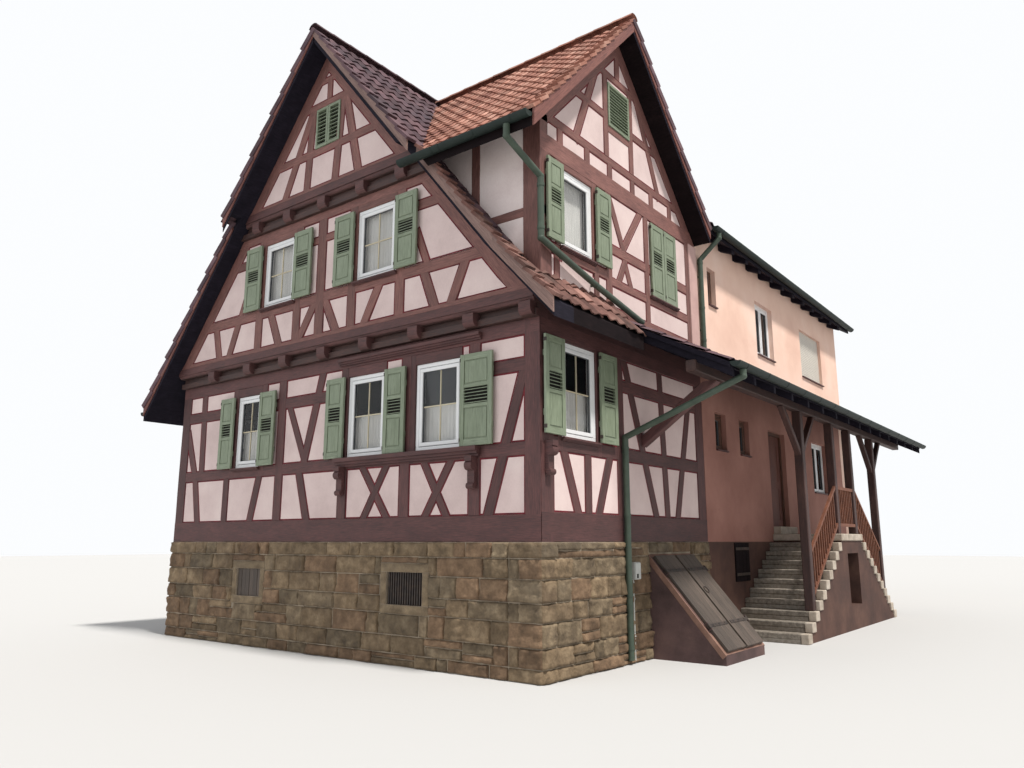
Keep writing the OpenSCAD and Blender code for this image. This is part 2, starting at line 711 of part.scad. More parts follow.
// Rendered walls of the annexe
split_z = upper_z - floor_t;
sill_z = 300;
module annexe_low_outline(y0, y1, z0) difference() {
    translate([y0, z0]) square([y1 - y0, split_z - z0]);
    openings(annexe_low);
}
module annexe_wall_near() color(c_render) placed() wall_y(half_w, masonry_t)
    annexe_low_outline(block_d, door_y - door_w / 2, 0);
module annexe_wall_far() color(c_render) placed() wall_y(half_w, masonry_t)
    annexe_low_outline(door_y + door_w / 2, house_l - masonry_t, 0);
module annexe_wall_over_door() color(c_render) placed() wall_y(half_w, masonry_t)
    annexe_low_outline(door_y - door_w / 2, door_y + door_w / 2, sill_z + door_h);
module annexe_wall_upper() color(c_render) placed() intersection() {
    wall_y(half_w, masonry_t) difference() {
        translate([block_d, split_z]) square([annexe_d - masonry_t, 4000]);
        openings(annexe_high);
    }
    under_annexe_3d(0, house_l);
}
module annexe_wall_left() color(c_render) placed() intersection() {
    wall_y(-half_w + masonry_t, masonry_t) difference() {
        translate([block_d, 0]) square([annexe_d - masonry_t, 7000]);
        openings(left_annexe);
    }
    under_annexe_3d(0, house_l);
}
module annexe_wall_rear() color(c_render) placed() wall_x(house_l - masonry_t, masonry_t) difference() {
    intersection() {
        translate([-half_w, 0]) square([house_w, ridge_z]);
        under_annexe();
    }
    openings(rear_windows);
}
// The annexe's front gable stands on the main roof
module annexe_front_gable() color(c_render) placed() wall_x(block_d, masonry_t) difference() {
    intersection() {
        translate([-half_w + masonry_t, 0]) square([house_w - 2 * masonry_t, ridge_z]);
        under_annexe();
    }
    polygon([[-left_tip, -far], [right_tip, -far], [right_tip, kick_top(right_tip)],
        [kick_x, main_top(kick_x)], [0, ridge_z], [-left_tip, main_top(left_tip)]]);
}

// Sections of the roofs
module main_left_section() polygon([[-left_tip, main_top(left_tip)], [0, ridge_z], [0, ridge_z - main_tv],
    [-left_tip, main_top(left_tip) - main_tv]]);
module main_right_section() polygon([[0, ridge_z], [kick_x, main_top(kick_x)],
    [right_tip, kick_top(right_tip)], [right_tip, kick_top(right_tip) - kick_tv],
    [kick_under_x, main_top(kick_under_x) - main_tv], [0, ridge_z - main_tv]]);
// Half round tiles over the ridges, as one cap each
cap_r = 110;
cap_sink = 50;
module ridge_cap_section(top) translate([0, top - cap_sink]) circle(cap_r, $fn = 48);
// Lower ends of the projecting upper verges
verge_step_z = gable_z - 40;
module main_roof_body() {
    wall_x(-verge_low, block_d + verge_low) children();
    intersection() {
        wall_x(-verge_high, verge_high) children();
        translate([-far, -far, verge_step_z]) cube([2 * far, 2 * far, far]);
    }
    // The last rafters under the annexe's front gable
    intersection() {
        wall_x(block_d - over, masonry_t + over) children();
        translate([-half_w + masonry_t, 0, 0]) cube([house_w - 2 * masonry_t, far, far]);
        under_annexe_3d(0, far);
    }
}
module main_roof_left() color(c_tile) placed() {
    main_roof_body() main_left_section();
    // The cap lies on the right slope and holds on to the left one
    wall_x(-verge_high, verge_high + block_d) difference() {
        ridge_cap_section(ridge_z);
        polygon([[0, -far], [0, ridge_z + seat], [far, main_top(far) + seat]]);
    }
}
module main_roof_right() color(c_tile) placed() difference() {
    main_roof_body() main_right_section();
    // Open to the space below the cross roof
    intersection() {
        translate([0, cheek_y, -far]) cube([half_w, block_d - cheek_y, 2 * far]);
        under_cross_3d(0, far);
    }
    // Along the side wall the flared foot goes on as a pent roof of its own
    translate([half_w, cheek_y, -far]) cube([far, far, 2 * far]);
}
module side_pent() color(c_tile) placed() wall_x(cheek_y + seat, porch_y - cheek_y - seat) intersection() {
    main_right_section();
    translate([half_w + seat, -far]) square([far, 2 * far]);
}
cross_tip = half_w + cross_verge;
module cross_section() polygon([
    [-cross_eave, cross_top(-cross_eave)], [cross_ridge_y, cross_ridge_z],
    [block_d, cross_top(block_d)], [block_d, cross_top(block_d) - cross_tv],
    [cross_ridge_y, cross_ridge_z - cross_tv], [-cross_eave, cross_top(-cross_eave) - cross_tv]]);
module cross_roof() color(c_tile_warm) placed() difference() {
    rotate([90, 0, 90]) linear_extrude(cross_tip) {
        cross_section();
        translate([cross_ridge_y, 0]) ridge_cap_section(cross_ridge_z);
    }
    wall_x(-far, 2 * far) translate([0, ridge_z - cap_sink]) circle(cap_r + seat, $fn = 48);
    translate([0, far, 0]) rotate([90, 0, 0]) linear_extrude(2 * far) polygon([
        [-over, -far], [right_tip + far, -far], [right_tip + far, kick_top(right_tip + far)],
        [kick_x, main_top(kick_x)], [0, ridge_z], [-over, ridge_z]]);
}
annexe_tip = half_w + annexe_eave;
module annexe_roof() color(c_tile) placed() wall_x(block_d, annexe_d + annexe_eave) {
    polygon([[-annexe_tip, annexe_top(annexe_tip)], [0, ridge_z], [annexe_tip, annexe_top(annexe_tip)],
        [annexe_tip, annexe_top(annexe_tip) - annexe_tv], [0, ridge_z - annexe_tv],
        [-annexe_tip, annexe_top(annexe_tip) - annexe_tv]]);
    ridge_cap_section(ridge_z);
}
porch_tip = half_w + porch_d;
porch_end = house_l + annexe_eave;
module porch_section(drop, t) polygon([[half_w, porch_z - drop], [porch_tip, porch_top(porch_tip) - drop],
    [porch_tip, porch_top(porch_tip) - drop - t], [half_w, porch_z - drop - t]]);
rafter_h = 110;
rafter_w = 80;
rafter_n = 16;
module porch_roof() color(c_tile) placed() {
    wall_x(porch_y, porch_end - porch_y) porch_section(0, porch_tv);
    first = porch_y + 60;
    step = (porch_end - porch_y - 120 - rafter_w) / (rafter_n - 1);
    for (i = [0 : rafter_n - 1]) wall_x(first + i * step, rafter_w) porch_section(porch_tv - 1, rafter_h + 1);
}

// Verge boards
module verge_boards() color(c_verge) placed() {
    // Upper verges of the street gable
    wall_x(-verge_high - verge_board_t, verge_board_t) intersection() {
        union() {
            main_left_section();
            main_right_section();
        }
        translate([-far, verge_step_z]) square([2 * far, far]);
    }
    // Lower verges of the street gable
    wall_x(-verge_low - verge_board_t, verge_board_t) intersection() {
        union() {
            main_left_section();
            main_right_section();
        }
        translate([-far, -far]) square([2 * far, far + verge_step_z]);
    }
    // Verges of the cross gable
    wall_y(cross_tip + verge_board_t, verge_board_t) cross_section();
}

// Half round gutters with closed ends, lying against the eaves
module gutter(l) difference() {
    rotate([-90, 0, 0]) cylinder(h = l, r = gutter_r, $fn = 48);
    translate([0, gutter_t, 0]) rotate([-90, 0, 0])
        cylinder(h = l - 2 * gutter_t, r = gutter_r - gutter_t, $fn = 48);
    translate([-gutter_r - over, -over, 0]) cube([2 * gutter_r + 2 * over, l + 2 * over, gutter_r + over]);
}
gutter_drop = 60;
annexe_gutter_z = annexe_top(annexe_tip) - annexe_tv / 2;
porch_gutter_z = porch_top(porch_tip) - gutter_drop;
left_gutter_z = main_top(left_tip) - gutter_drop - 60;
cross_gutter_z = cross_top(-cross_eave) - gutter_drop - 40;
// Where the cross roof's front eave meets the main roof
cross_valley_x = (ridge_z - cross_top(-cross_eave)) / tan(main_pitch) + 260;
module gutters() color(c_green) placed() {
    translate([porch_tip + gutter_r, porch_y, porch_gutter_z]) gutter(porch_end - porch_y);
    translate([annexe_tip + gutter_r, block_d + 60, annexe_gutter_z]) gutter(annexe_d + annexe_eave - 60);
    translate([-annexe_tip - gutter_r, block_d, annexe_gutter_z]) gutter(annexe_d + annexe_eave);
    translate([-left_tip - gutter_r, -verge_low, left_gutter_z]) gutter(block_d + verge_low);
    translate([cross_tip, -cross_eave - gutter_r, cross_gutter_z]) rotate([0, 0, 90])
        gutter(cross_tip - cross_valley_x);
}

// A pipe through a list of points
module pipe_leg(a, b, r) {
    d = b - a;
    l = norm(d);
    translate(a) rotate([0, acos(d[2] / l), atan2(d[1], d[0])]) cylinder(h = l, r = r, $fn = 32);
}
module pipe(points, r = pipe_r) {
    for (i = [0 : len(points) - 2]) pipe_leg(points[i], points[i + 1], r);
    for (i = [1 : len(points) - 2]) translate(points[i]) sphere(r + 4, $fn = 32);
}
// A clip that holds a pipe to the wall along the long side
module pipe_clip(y, z) translate([half_w, y - 12, z]) cube([pipe_off, 24, 30]);
pipe_off = pipe_r + 12;
outlet = 90;
side_pipe_y = 2020;
annexe_pipe_y = block_d + 100;
porch_pipe_y = porch_y + 260;
module downpipes() color(c_green) placed() {
    // Porch gutter to the corner of the long side, then down to the ground
    pipe([[porch_tip + gutter_r, porch_pipe_y, porch_gutter_z - gutter_r],
        [porch_tip + gutter_r, porch_pipe_y, porch_gutter_z - gutter_r - outlet],
        [half_w + pipe_off, side_pipe_y, 1480], [half_w + pipe_off, side_pipe_y, -plinth_h + 60]]);
    for (z = [1250, 100, -1100]) pipe_clip(side_pipe_y, z);
    // Cross gable gutter down past the corner post and along the roof
    slant_x = half_w + pipe_off + 30;
    slant_z = porch_top(slant_x) + pipe_r + 20;
    pipe([[half_w - 60, -cross_eave - gutter_r, cross_gutter_z - gutter_r],
        [half_w - 60, -cross_eave - gutter_r, cross_gutter_z - gutter_r - outlet - 70],
        [half_w + pipe_off, -40, cross_gutter_z - 600], [half_w + pipe_off, -40, 3880],
        [slant_x, 1250, slant_z + 250], [slant_x, 2600, slant_z]]);
    translate([half_w, 1238, slant_z + 235]) cube([pipe_off + 30, 24, 30]);
    // Annexe gutter down to the porch roof
    pipe([[annexe_tip + gutter_r, annexe_pipe_y + 160, annexe_gutter_z - gutter_r],
        [annexe_tip + gutter_r, annexe_pipe_y + 160, annexe_gutter_z - gutter_r - outlet],
        [half_w + pipe_off, annexe_pipe_y, annexe_gutter_z - 560],
        [half_w + pipe_off, annexe_pipe_y, porch_z + 60]]);
    for (z = [4700, 3700]) pipe_clip(annexe_pipe_y, z);
}

// Windows look to -y here: a frame, a sash lapping over it and thin glazing bars before the glass
sash_w = 52;
sash_lap = 12;
sash_out = 8;
glazing_bar = 18;
glass_in = (frame_d - glass_t) / 2;
// Windows over this width have two sashes, and those under it and over the other glazing bars
two_sash_w = 950;
barred_w = 600;
function sashes(w) = w > two_sash_w ? [[frame_w - sash_lap, w / 2], [w / 2, w - frame_w + sash_lap]]
    : [[frame_w - sash_lap, w - frame_w + sash_lap]];
module window_ring(x0, x1, z0, z1, bar, d) difference() {
    translate([x0, 0, z0]) cube([x1 - x0, d, z1 - z0]);
    translate([x0 + bar, -over, z0 + bar]) cube([x1 - x0 - 2 * bar, d + 2 * over, z1 - z0 - 2 * bar]);
}
module window_frame(o) {
    h = o[3];
    low = frame_w - sash_lap;
    window_ring(0, o[1], 0, h, frame_w, frame_d);
    for (s = sashes(o[1])) translate([0, -sash_out, 0])
        window_ring(s[0], s[1], low, h - low, sash_w, frame_d);
    if (o[1] > barred_w && o[1] < two_sash_w) translate([0, glass_in - 10, 0]) {
        translate([o[1] / 2 - glazing_bar / 2, 0, low + 1]) cube([glazing_bar, 10, h - 2 * low - 2]);
        translate([low + 1, 0, h / 2 - glazing_bar / 2]) cube([o[1] - 2 * low - 2, 10, glazing_bar]);
    }
}
module window_pane(o) for (s = sashes(o[1])) translate([s[0] + sash_w, glass_in, frame_w - sash_lap + sash_w])
    cube([s[1] - s[0] - 2 * sash_w, glass_t, o[3] - 2 * (frame_w - sash_lap + sash_w)]);
// Places of a window or shutter that starts at the opening's near lower corner
module at_front(o, y) translate([o[0] - o[1] / 2, y, o[2]]) children();
module at_side(o, x) translate([x, o[0] - o[1] / 2, o[2]]) rotate([0, 0, 90]) children();
module at_left(o, x) translate([-x, o[0] + o[1] / 2, o[2]]) rotate([0, 0, -90]) children();
module at_rear(o, y) translate([o[0] + o[1] / 2, y, o[2]]) rotate([0, 0, 180]) children();
module front_windows() color(c_white) placed() {
    for (o = [win_l, win_m, win_r]) at_front(o, window_back) window_frame(o);
    for (o = [up_l, up_r]) at_front(o, upper_y + window_back) window_frame(o);
}
module side_windows() color(c_white) placed() {
    for (o = [win_s, win_g]) at_side(o, half_w - window_back) window_frame(o);
    for (o = concat(annexe_low, annexe_high)) at_side(o, half_w - 3 * window_back) window_frame(o);
}
module hidden_windows() color(c_white) placed() {
    for (o = left_low) at_left(o, half_w - window_back) window_frame(o);
    for (o = left_annexe) at_left(o, half_w - 3 * window_back) window_frame(o);
    for (o = rear_windows) at_rear(o, house_l - 3 * window_back) window_frame(o);
}
module window_glass() color(c_glass) placed() {
    for (o = [win_l, win_m, win_r]) at_front(o, window_back) window_pane(o);
    for (o = [up_l, up_r]) at_front(o, upper_y + window_back) window_pane(o);
    for (o = [win_s, win_g]) at_side(o, half_w - window_back) window_pane(o);
    for (o = concat(annexe_low, annexe_high)) at_side(o, half_w - 3 * window_back) window_pane(o);
    for (o = left_low) at_left(o, half_w - window_back) window_pane(o);
    for (o = left_annexe) at_left(o, half_w - 3 * window_back) window_pane(o);
    for (o = rear_windows) at_rear(o, house_l - 3 * window_back) window_pane(o);
}

// Sills: profiles in (projection, height) below their top edge, drawn out along the walls
module along_front(x0, x1, y, z)
    translate([x1, y, z]) rotate([90, 0, -90]) linear_extrude(x1 - x0) children();
module along_side(y0, y1, x, z) translate([x, y1, z]) rotate([90, 0, 0]) linear_extrude(y1 - y0) children();
module moulding(out, h) {
    translate([0, -h]) square([out * 0.4, h]);
    translate([0, -h * 0.75]) square([out * 0.7, h * 0.75]);
    translate([0, -h * 0.45]) square([out, h * 0.45]);
}
// A carved console: an upper and a lower scroll on a slender body
module console() {
    translate([0, -70]) square([125, 70]);
    translate([0, -400]) square([60, 340]);
    translate([70, -125]) circle(62, $fn = 32);
    translate([52, -390]) circle(40, $fn = 32);
}
console_w = 120;
sill_seat = 8;
group_sill_h = 130;
module window_sills() color(c_timber) placed() {
    // Moulded sill on two consoles and a cornice, for the pair of windows in the street front
    group_z = ground_sill_z - sill_seat;
    along_front(post_b - 110, post_d + 110, 0, group_z) moulding(110, group_sill_h);
    along_front(post_b - 130, post_d + 130, 0, storey_h - 60) moulding(80, 100);
    for (x = [post_b, post_d])
        along_front(x - console_w / 2, x + console_w / 2, 0, group_z - group_sill_h) console();
    along_side(85, 85 + console_w, half_w, side_rail_z + 100) console();
    // Plain sills of the other windows and the closed pair of shutters
    for (o = [win_l, up_l, up_r])
        along_front(o[0] - o[1] / 2 - 40, o[0] + o[1] / 2 + 40, o == win_l ? 0 : upper_y, o[2] - sill_seat)
            moulding(60, 50);
    for (o = [win_s, win_g, closed_pair])
        along_side(o[0] - o[1] / 2 - 40, o[0] + o[1] / 2 + 40, half_w, o[2] - sill_seat) moulding(50, 50);
    for (o = concat(annexe_low, annexe_high)) translate([half_w - 2 * window_back, o[0] - o[1] / 2, o[2]])
        cube([2 * window_back + 40, o[1], 25]);
}

// Shutters look to -y here: two panels with a groove round each and slats between them
shutter_stile = 75;
groove = 14;
groove_in = 8;
slat_n = 5;
module shutter_leaf(w, h) {
    in_w = w - 2 * shutter_stile;
    mid = [h * 0.45, h * 0.63];
    difference() {
        cube([w, shutter_t, h]);
        translate([shutter_stile, -over, mid[0]]) cube([in_w, shutter_t + 2 * over, mid[1] - mid[0]]);
        for (z = [[90, mid[0] - 50], [mid[1] + 50, h - 85]])
            translate([shutter_stile, 0, z[0]]) difference() {
            translate([0, -over, 0]) cube([in_w, groove_in + over, z[1] - z[0]]);
            translate([groove, -2 * over, groove]) cube([in_w - 2 * groove, far, z[1] - z[0] - 2 * groove]);
        }
    }
    step = (mid[1] - mid[0]) / slat_n;
    for (k = [0 : slat_n - 1]) translate([shutter_stile - 1, 3, mid[0] + 4 + k * step])
        rotate([-35, 0, 0]) cube([in_w + 2, 7, step * 0.95]);
}
// Battens hold an open leaf off the wall
module shutter_battens(w, h) for (t = [0.18, 0.78]) translate([20, shutter_t - 1, h * t])
    cube([w - 40, shutter_off + 1, 80]);
// Near edge of a leaf of width w beside a window, on side s
function leaf_at(o, s, w) = s > 0 ? o[0] + o[1] / 2 + shutter_gap : o[0] - o[1] / 2 - shutter_gap - w;
module shutter_x(o, s, w, y) translate([leaf_at(o, s, w), y - shutter_off - shutter_t, o[2]]) {
    shutter_leaf(w, o[3]);
    shutter_battens(w, o[3]);
}
module shutter_y(o, s, w, x) translate([x + shutter_off + shutter_t, leaf_at(o, s, w), o[2]])
    rotate([0, 0, 90]) {
        shutter_leaf(w, o[3]);
        shutter_battens(w, o[3]);
    }
module front_shutters() color(c_shutter) placed() {
    shutter_x(win_l, -1, 400, 0);
    shutter_x(win_l, 1, 430, 0);
    shutter_x(win_m, -1, 420, 0);
    shutter_x(win_m, 1, 430, 0);
    shutter_x(win_r, 1, 560, 0);
    shutter_x(up_l, -1, 450, upper_y);
    shutter_x(up_l, 1, 460, upper_y);
    shutter_x(up_r, -1, 450, upper_y);
    shutter_x(up_r, 1, 450, upper_y);
}
closed_pair = [3550, 900, 3900, 1250];
module side_shutters() color(c_shutter) placed() {
    shutter_y(win_s, -1, 440, half_w);
    shutter_y(win_s, 1, 450, half_w);
    shutter_y(win_g, -1, 380, half_w);
    shutter_y(win_g, 1, 400, half_w);
    // The closed pair lies against the wall
    leaf_w = closed_pair[1] / 2 - 8;
    for (s = [-1, 1])
        translate([half_w + shutter_t, closed_pair[0] + s * (leaf_w / 2 + 4) - leaf_w / 2, closed_pair[2]])
            rotate([0, 0, 90]) shutter_leaf(leaf_w, closed_pair[3]);
}
// Louvred openings in the gables: a frame and slanted slats
module vent_y(o) {
    w = o[1];
    h = o[3];
    n = 9;
    difference() {
        translate([0, -w / 2, 0]) cube([60, w, h]);
        translate([-over, -w / 2 + 40, 40]) cube([60 + 2 * over, w - 80, h - 80]);
    }
    for (i = [0 : n - 1]) translate([8, -w / 2 + 39, 52 + i * (h - 110) / n])
        rotate([0, 35, 0]) cube([12, w - 78, 62]);
}
module vents() color(c_wood) placed() {
    // Cellar lights in the plinth: boards in one, slats in the other
    wall_x(120, 40) opening(cellar_lights[0]);
    translate([cellar_lights[1][0], 160, cellar_lights[1][2]]) rotate([0, 0, -90]) vent_y(cellar_lights[1]);
    translate([half_w - 80, vent_side[0], vent_side[2]]) vent_y(vent_side);
    translate([vent_front[0], gable_y + 80, vent_front[2]]) rotate([0, 0, -90]) vent_y(vent_front);
}

// Meter box by the downpipe and dark board on the annexe's plinth: middle, width, bottom, height
meter_box = [side_pipe_y + 185, 150, -520, 240];
meter_box_t = 110;
plinth_board = [block_d + 1425, 650, -700, 680];
plinth_board_t = 30;
module wall_fittings() color(c_white) placed() {
    wall_y(half_w + meter_box_t, meter_box_t) opening(meter_box);
    // Its cable pipe
    translate([half_w, meter_box[0] - 10, -plinth_h]) cube([24, 24, plinth_h + meter_box[2]]);
    wall_y(half_w + plinth_board_t, plinth_board_t) opening(plinth_board);
    // Lowered roller shutter of an annexe window
    wall_y(half_w - 2 * window_back, window_back - sash_out - 1) opening(annexe_high[2]);
}

// Outside stair: two flights that rise to one landing
riser = (plinth_h + landing_z) / riser_n;
landing_y0 = door_y - 550;
landing_y1 = landing_y0 + landing_l;
flight_l = (riser_n - 1) * going;
// Steps are drawn rising towards +y; step 1 is the lowest
module flight_core() translate([half_w, 0, -plinth_h]) rotate([90, 0, 90]) linear_extrude(stair_w)
    for (k = [1 : riser_n - 1]) translate([(k - 1) * going, 0])
        square([going * (riser_n - k), k * riser - tread_t - seat]);
module flight_treads() for (k = [1 : riser_n - 1])
    translate([half_w, (k - 1) * going - nosing, -plinth_h + k * riser - tread_t])
        cube([stair_w + nosing, going + nosing - 1, tread_t]);
// Stone blocks that close the steps' outer ends
module flight_ends() for (k = [1 : riser_n - 1])
    translate([half_w + stair_w + seat, (k - 1) * going, -plinth_h + (k - 1) * riser])
        cube([nosing - seat, going - 1, riser - tread_t + 1]);
module near_flight() translate([0, landing_y0 - flight_l, 0]) children();
module far_flight() translate([0, landing_y1 + flight_l, 0]) mirror([0, 1, 0]) children();
module near_stair_core() color(c_base) placed() near_flight() flight_core();
module far_stair_core() color(c_base) placed() far_flight() flight_core();
module stair_treads() color(c_step) placed() {
    near_flight() flight_treads();
    far_flight() flight_treads();
    near_flight() flight_ends();
    far_flight() flight_ends();
}
niche = [8725, 750, -1200, 980];
module landing_base() color(c_base) placed() difference() {
    translate([half_w, landing_y0, -plinth_h]) cube([stair_w, landing_l, plinth_h + landing_z - landing_t]);
    wall_y(half_w + stair_w + over, 900) opening(niche);
}
module landing() color(c_step) placed() {
    translate([half_w, landing_y0 - nosing, landing_z - landing_t])
        cube([stair_w + nosing, landing_l + 2 * nosing, landing_t]);
    // Threshold stone of the entrance door
    translate([half_w - masonry_t, door_y - door_w / 2, 0]) cube([masonry_t, door_w, sill_z]);
    translate([half_w - over, door_y - door_w / 2, landing_z]) cube([150 + over, door_w, sill_z - landing_z]);
}

// Balustrades: a top rail, a foot rail and upright bars
bal_x = half_w + stair_w - 70;
bal_w = 50;
module sloped_bar(y0, z0, y1, z1, h, w) translate([bal_x - w / 2, 0, 0]) rotate([90, 0, 90]) linear_extrude(w)
    polygon([[y0, z0], [y1, z1], [y1, z1 + h], [y0, z0 + h]]);
rise_t = riser / going;
// The rails run from post to post; the landing posts stand in from its ends
landing_post_in = 110;
bal_end = landing_post_in - porch_post_w / 2;
module flight_balustrade() {
    y0 = flight_l - 7.5 * going + porch_post_w / 2;
    y1 = flight_l + bal_end;
    function line(y) = landing_z + (y - y1) * rise_t;
    sloped_bar(y0, line(y0) + rail_up, y1, line(y1) + rail_up, 60, bal_w);
    sloped_bar(y0, line(y0) + 140, y1, line(y1) + 140, 60, bal_w);
    bars = 12;
    for (i = [1 : bars]) {
        y = y0 + i * (y1 - y0) / (bars + 1);
        translate([bal_x - 15, y - 15, line(y) + 170]) cube([30, 30, rail_up - 150]);
    }
}
module balustrades() color(c_door) placed() {
    near_flight() flight_balustrade();
    far_flight() flight_balustrade();
    y0 = landing_y0 + landing_post_in + porch_post_w / 2;
    l = landing_l - 2 * landing_post_in - porch_post_w;
    for (z = [landing_z + 140, landing_z + rail_up])
        translate([bal_x - bal_w / 2, y0, z]) cube([bal_w, l, 60]);
    bars = 8;
    for (i = [1 : bars]) translate([bal_x - 15, y0 + i * l / (bars + 1) - 15, landing_z + 170])
        cube([30, 30, rail_up - 150]);
}

// Porch posts, the purlin over them, braces and the strut at the front end
purlin_h = 160;
post_x = half_w + porch_post_x;
purlin_z = porch_top(post_x) - porch_tv - rafter_h - purlin_h;
post_feet = [[landing_y0 - 7.5 * going, landing_z - 8 * riser], [landing_y0 + landing_post_in, landing_z],
    [landing_y1 - landing_post_in, landing_z], [landing_y1 + 7.5 * going, landing_z - 8 * riser]];
module porch_post(f) translate([post_x - porch_post_w / 2, f[0] - porch_post_w / 2, f[1]])
    cube([porch_post_w, porch_post_w, purlin_z - f[1]]);
module porch_posts() color(c_timber) placed() for (f = post_feet) porch_post(f);
module porch_purlin() color(c_timber) placed() intersection() {
    translate([post_x - porch_post_w / 2, porch_y, purlin_z])
        cube([porch_post_w, porch_end - porch_y, purlin_h + 200]);
    wall_x(0, far) polygon([[half_w, -far], [porch_tip, -far],
        [porch_tip, porch_top(porch_tip) - porch_tv - rafter_h],
        [half_w, porch_z - porch_tv - rafter_h]]);
}
brace_reach = 1000;
brace_rise = 800;
strut_y = 2630;
module porch_braces() color(c_timber) placed() difference() {
    intersection() {
        union() {
            for (f = [post_feet[0], post_feet[3]], s = [-1, 1])
                translate([post_x - 50, f[0], 0]) rotate([90, 0, 90]) linear_extrude(100)
                    bar(0, purlin_z - brace_rise, s * brace_reach, purlin_z + 20, 110);
            wall_x(strut_y, 140) bar(half_w - 100, 1420, post_x, purlin_z + 40, 140);
        }
        translate([half_w, 0, -far]) cube([porch_d, far, far + purlin_z]);
    }
    porch_post(post_feet[0]);
    porch_post(post_feet[3]);
}

// Cellar hatch: two cheeks, a kerb and a lintel carry two leaves on the slope
hatch_top = -hatch_drop;
hatch_low = -plinth_h;
hatch_angle = atan2(hatch_top - hatch_low - 140, hatch_reach);
module cheek_section() polygon([[half_w, hatch_low], [half_w + hatch_reach, hatch_low],
    [half_w + hatch_reach, hatch_low + 140], [half_w, hatch_top]]);
module hatch_frame() color(c_base) placed() {
    for (y = [hatch_y, hatch_y + hatch_w - cheek_t]) wall_x(y, cheek_t) cheek_section();
    // Kerb between the cheeks at the foot
    intersection() {
        wall_x(hatch_y + 10, hatch_w - 20) cheek_section();
        translate([half_w + hatch_reach - 120, 0, hatch_low]) cube([120, far, 400]);
    }
    // Top bar against the wall
    intersection() {
        wall_x(hatch_y + 10, hatch_w - 20) cheek_section();
        translate([half_w, 0, hatch_top - 200]) cube([90, far, 400]);
    }
    for (side = [0, 1]) hatch_side(side) hatch_pins();
}
// Frame of the slope: x down the slope from its top, y across, z out of the slope
slope_l = norm([hatch_reach, hatch_top - hatch_low - 140]);
module on_slope() translate([half_w, hatch_y, hatch_top]) rotate([0, hatch_angle, 0]) children();
module hatch_side(far_side) on_slope() translate([0, far_side * hatch_w, 0])
    mirror([0, far_side, 0]) children();
hinge_z = leaf_gap + hatch_t + knuckle_t;
hinge_y = 34;
knuckle_r = pin_r + pin_gap + knuckle_t;
hinge_at = [0.2, 0.75];
knuckle_l = 80;
// Pins with two lugs each on the cheek
module hatch_pins() for (t = hinge_at) translate([slope_l * t, hinge_y, 0]) {
    translate([-knuckle_l / 2 - 14, 0, hinge_z]) rotate([0, 90, 0])
        cylinder(h = knuckle_l + 28, r = pin_r, $fn = 32);
    for (s = [-1, 1]) translate([s * (knuckle_l / 2 + 10) - 4, -12, -2]) cube([8, 24, hinge_z + 14]);
}
leaf_in = hinge_y + knuckle_r + 4;
module hatch_leaf(side) hatch_side(side) difference() {
    union() {
        translate([60, leaf_in, leaf_gap])
            cube([slope_l - 90, hatch_w / 2 - leaf_in - leaf_gap / 2 - 1, hatch_t]);
        // Strap bars reach out to the knuckles
        for (t = hinge_at) translate([slope_l * t, 0, 0]) {
            translate([-25, hinge_y, leaf_gap + hatch_t]) cube([50, hatch_w / 2 - hinge_y - 60, 10]);
            translate([-knuckle_l / 2, hinge_y, hinge_z]) rotate([0, 90, 0])
                cylinder(h = knuckle_l, r = knuckle_r, $fn = 32);
        }
    }
    for (t = hinge_at) translate([slope_l * t - knuckle_l, hinge_y, hinge_z]) rotate([0, 90, 0])
        cylinder(h = 2 * knuckle_l, r = pin_r + pin_gap, $fn = 32);
}
module hatch_leaf_near() color(c_wood) placed() hatch_leaf(0);
module hatch_leaf_far() color(c_wood) placed() hatch_leaf(1);

// Entrance door in its frame; the leaf opens inwards about pins on its far side
door_x = half_w - 120;
door_z0 = sill_z;
door_y0 = door_y - door_w / 2;
door_y1 = door_y + door_w / 2;
pin_x = door_x - door_t - knuckle_r - 5;
pin_y = door_y1 - door_frame_w - 2;
door_hinges = [250, 980, 1650];
module door_frame() color(c_white) placed() {
    wall_y(door_x - door_t + 80, 80) difference() {
        translate([door_y0, door_z0]) square([door_w, door_h]);
        translate([door_y0 + door_frame_w, door_z0 - over])
            square([door_w - 2 * door_frame_w, door_h - door_frame_w + over]);
    }
    for (h = door_hinges) translate([pin_x, pin_y, door_z0 + h]) {
        translate([0, 0, -12]) cylinder(h = knuckle_l + 24, r = pin_r, $fn = 32);
        for (z = [-12, knuckle_l + 3]) translate([-10, 0, z])
            cube([10 - pin_x + door_x - door_t + 1, door_frame_w / 2, 9]);
    }
}
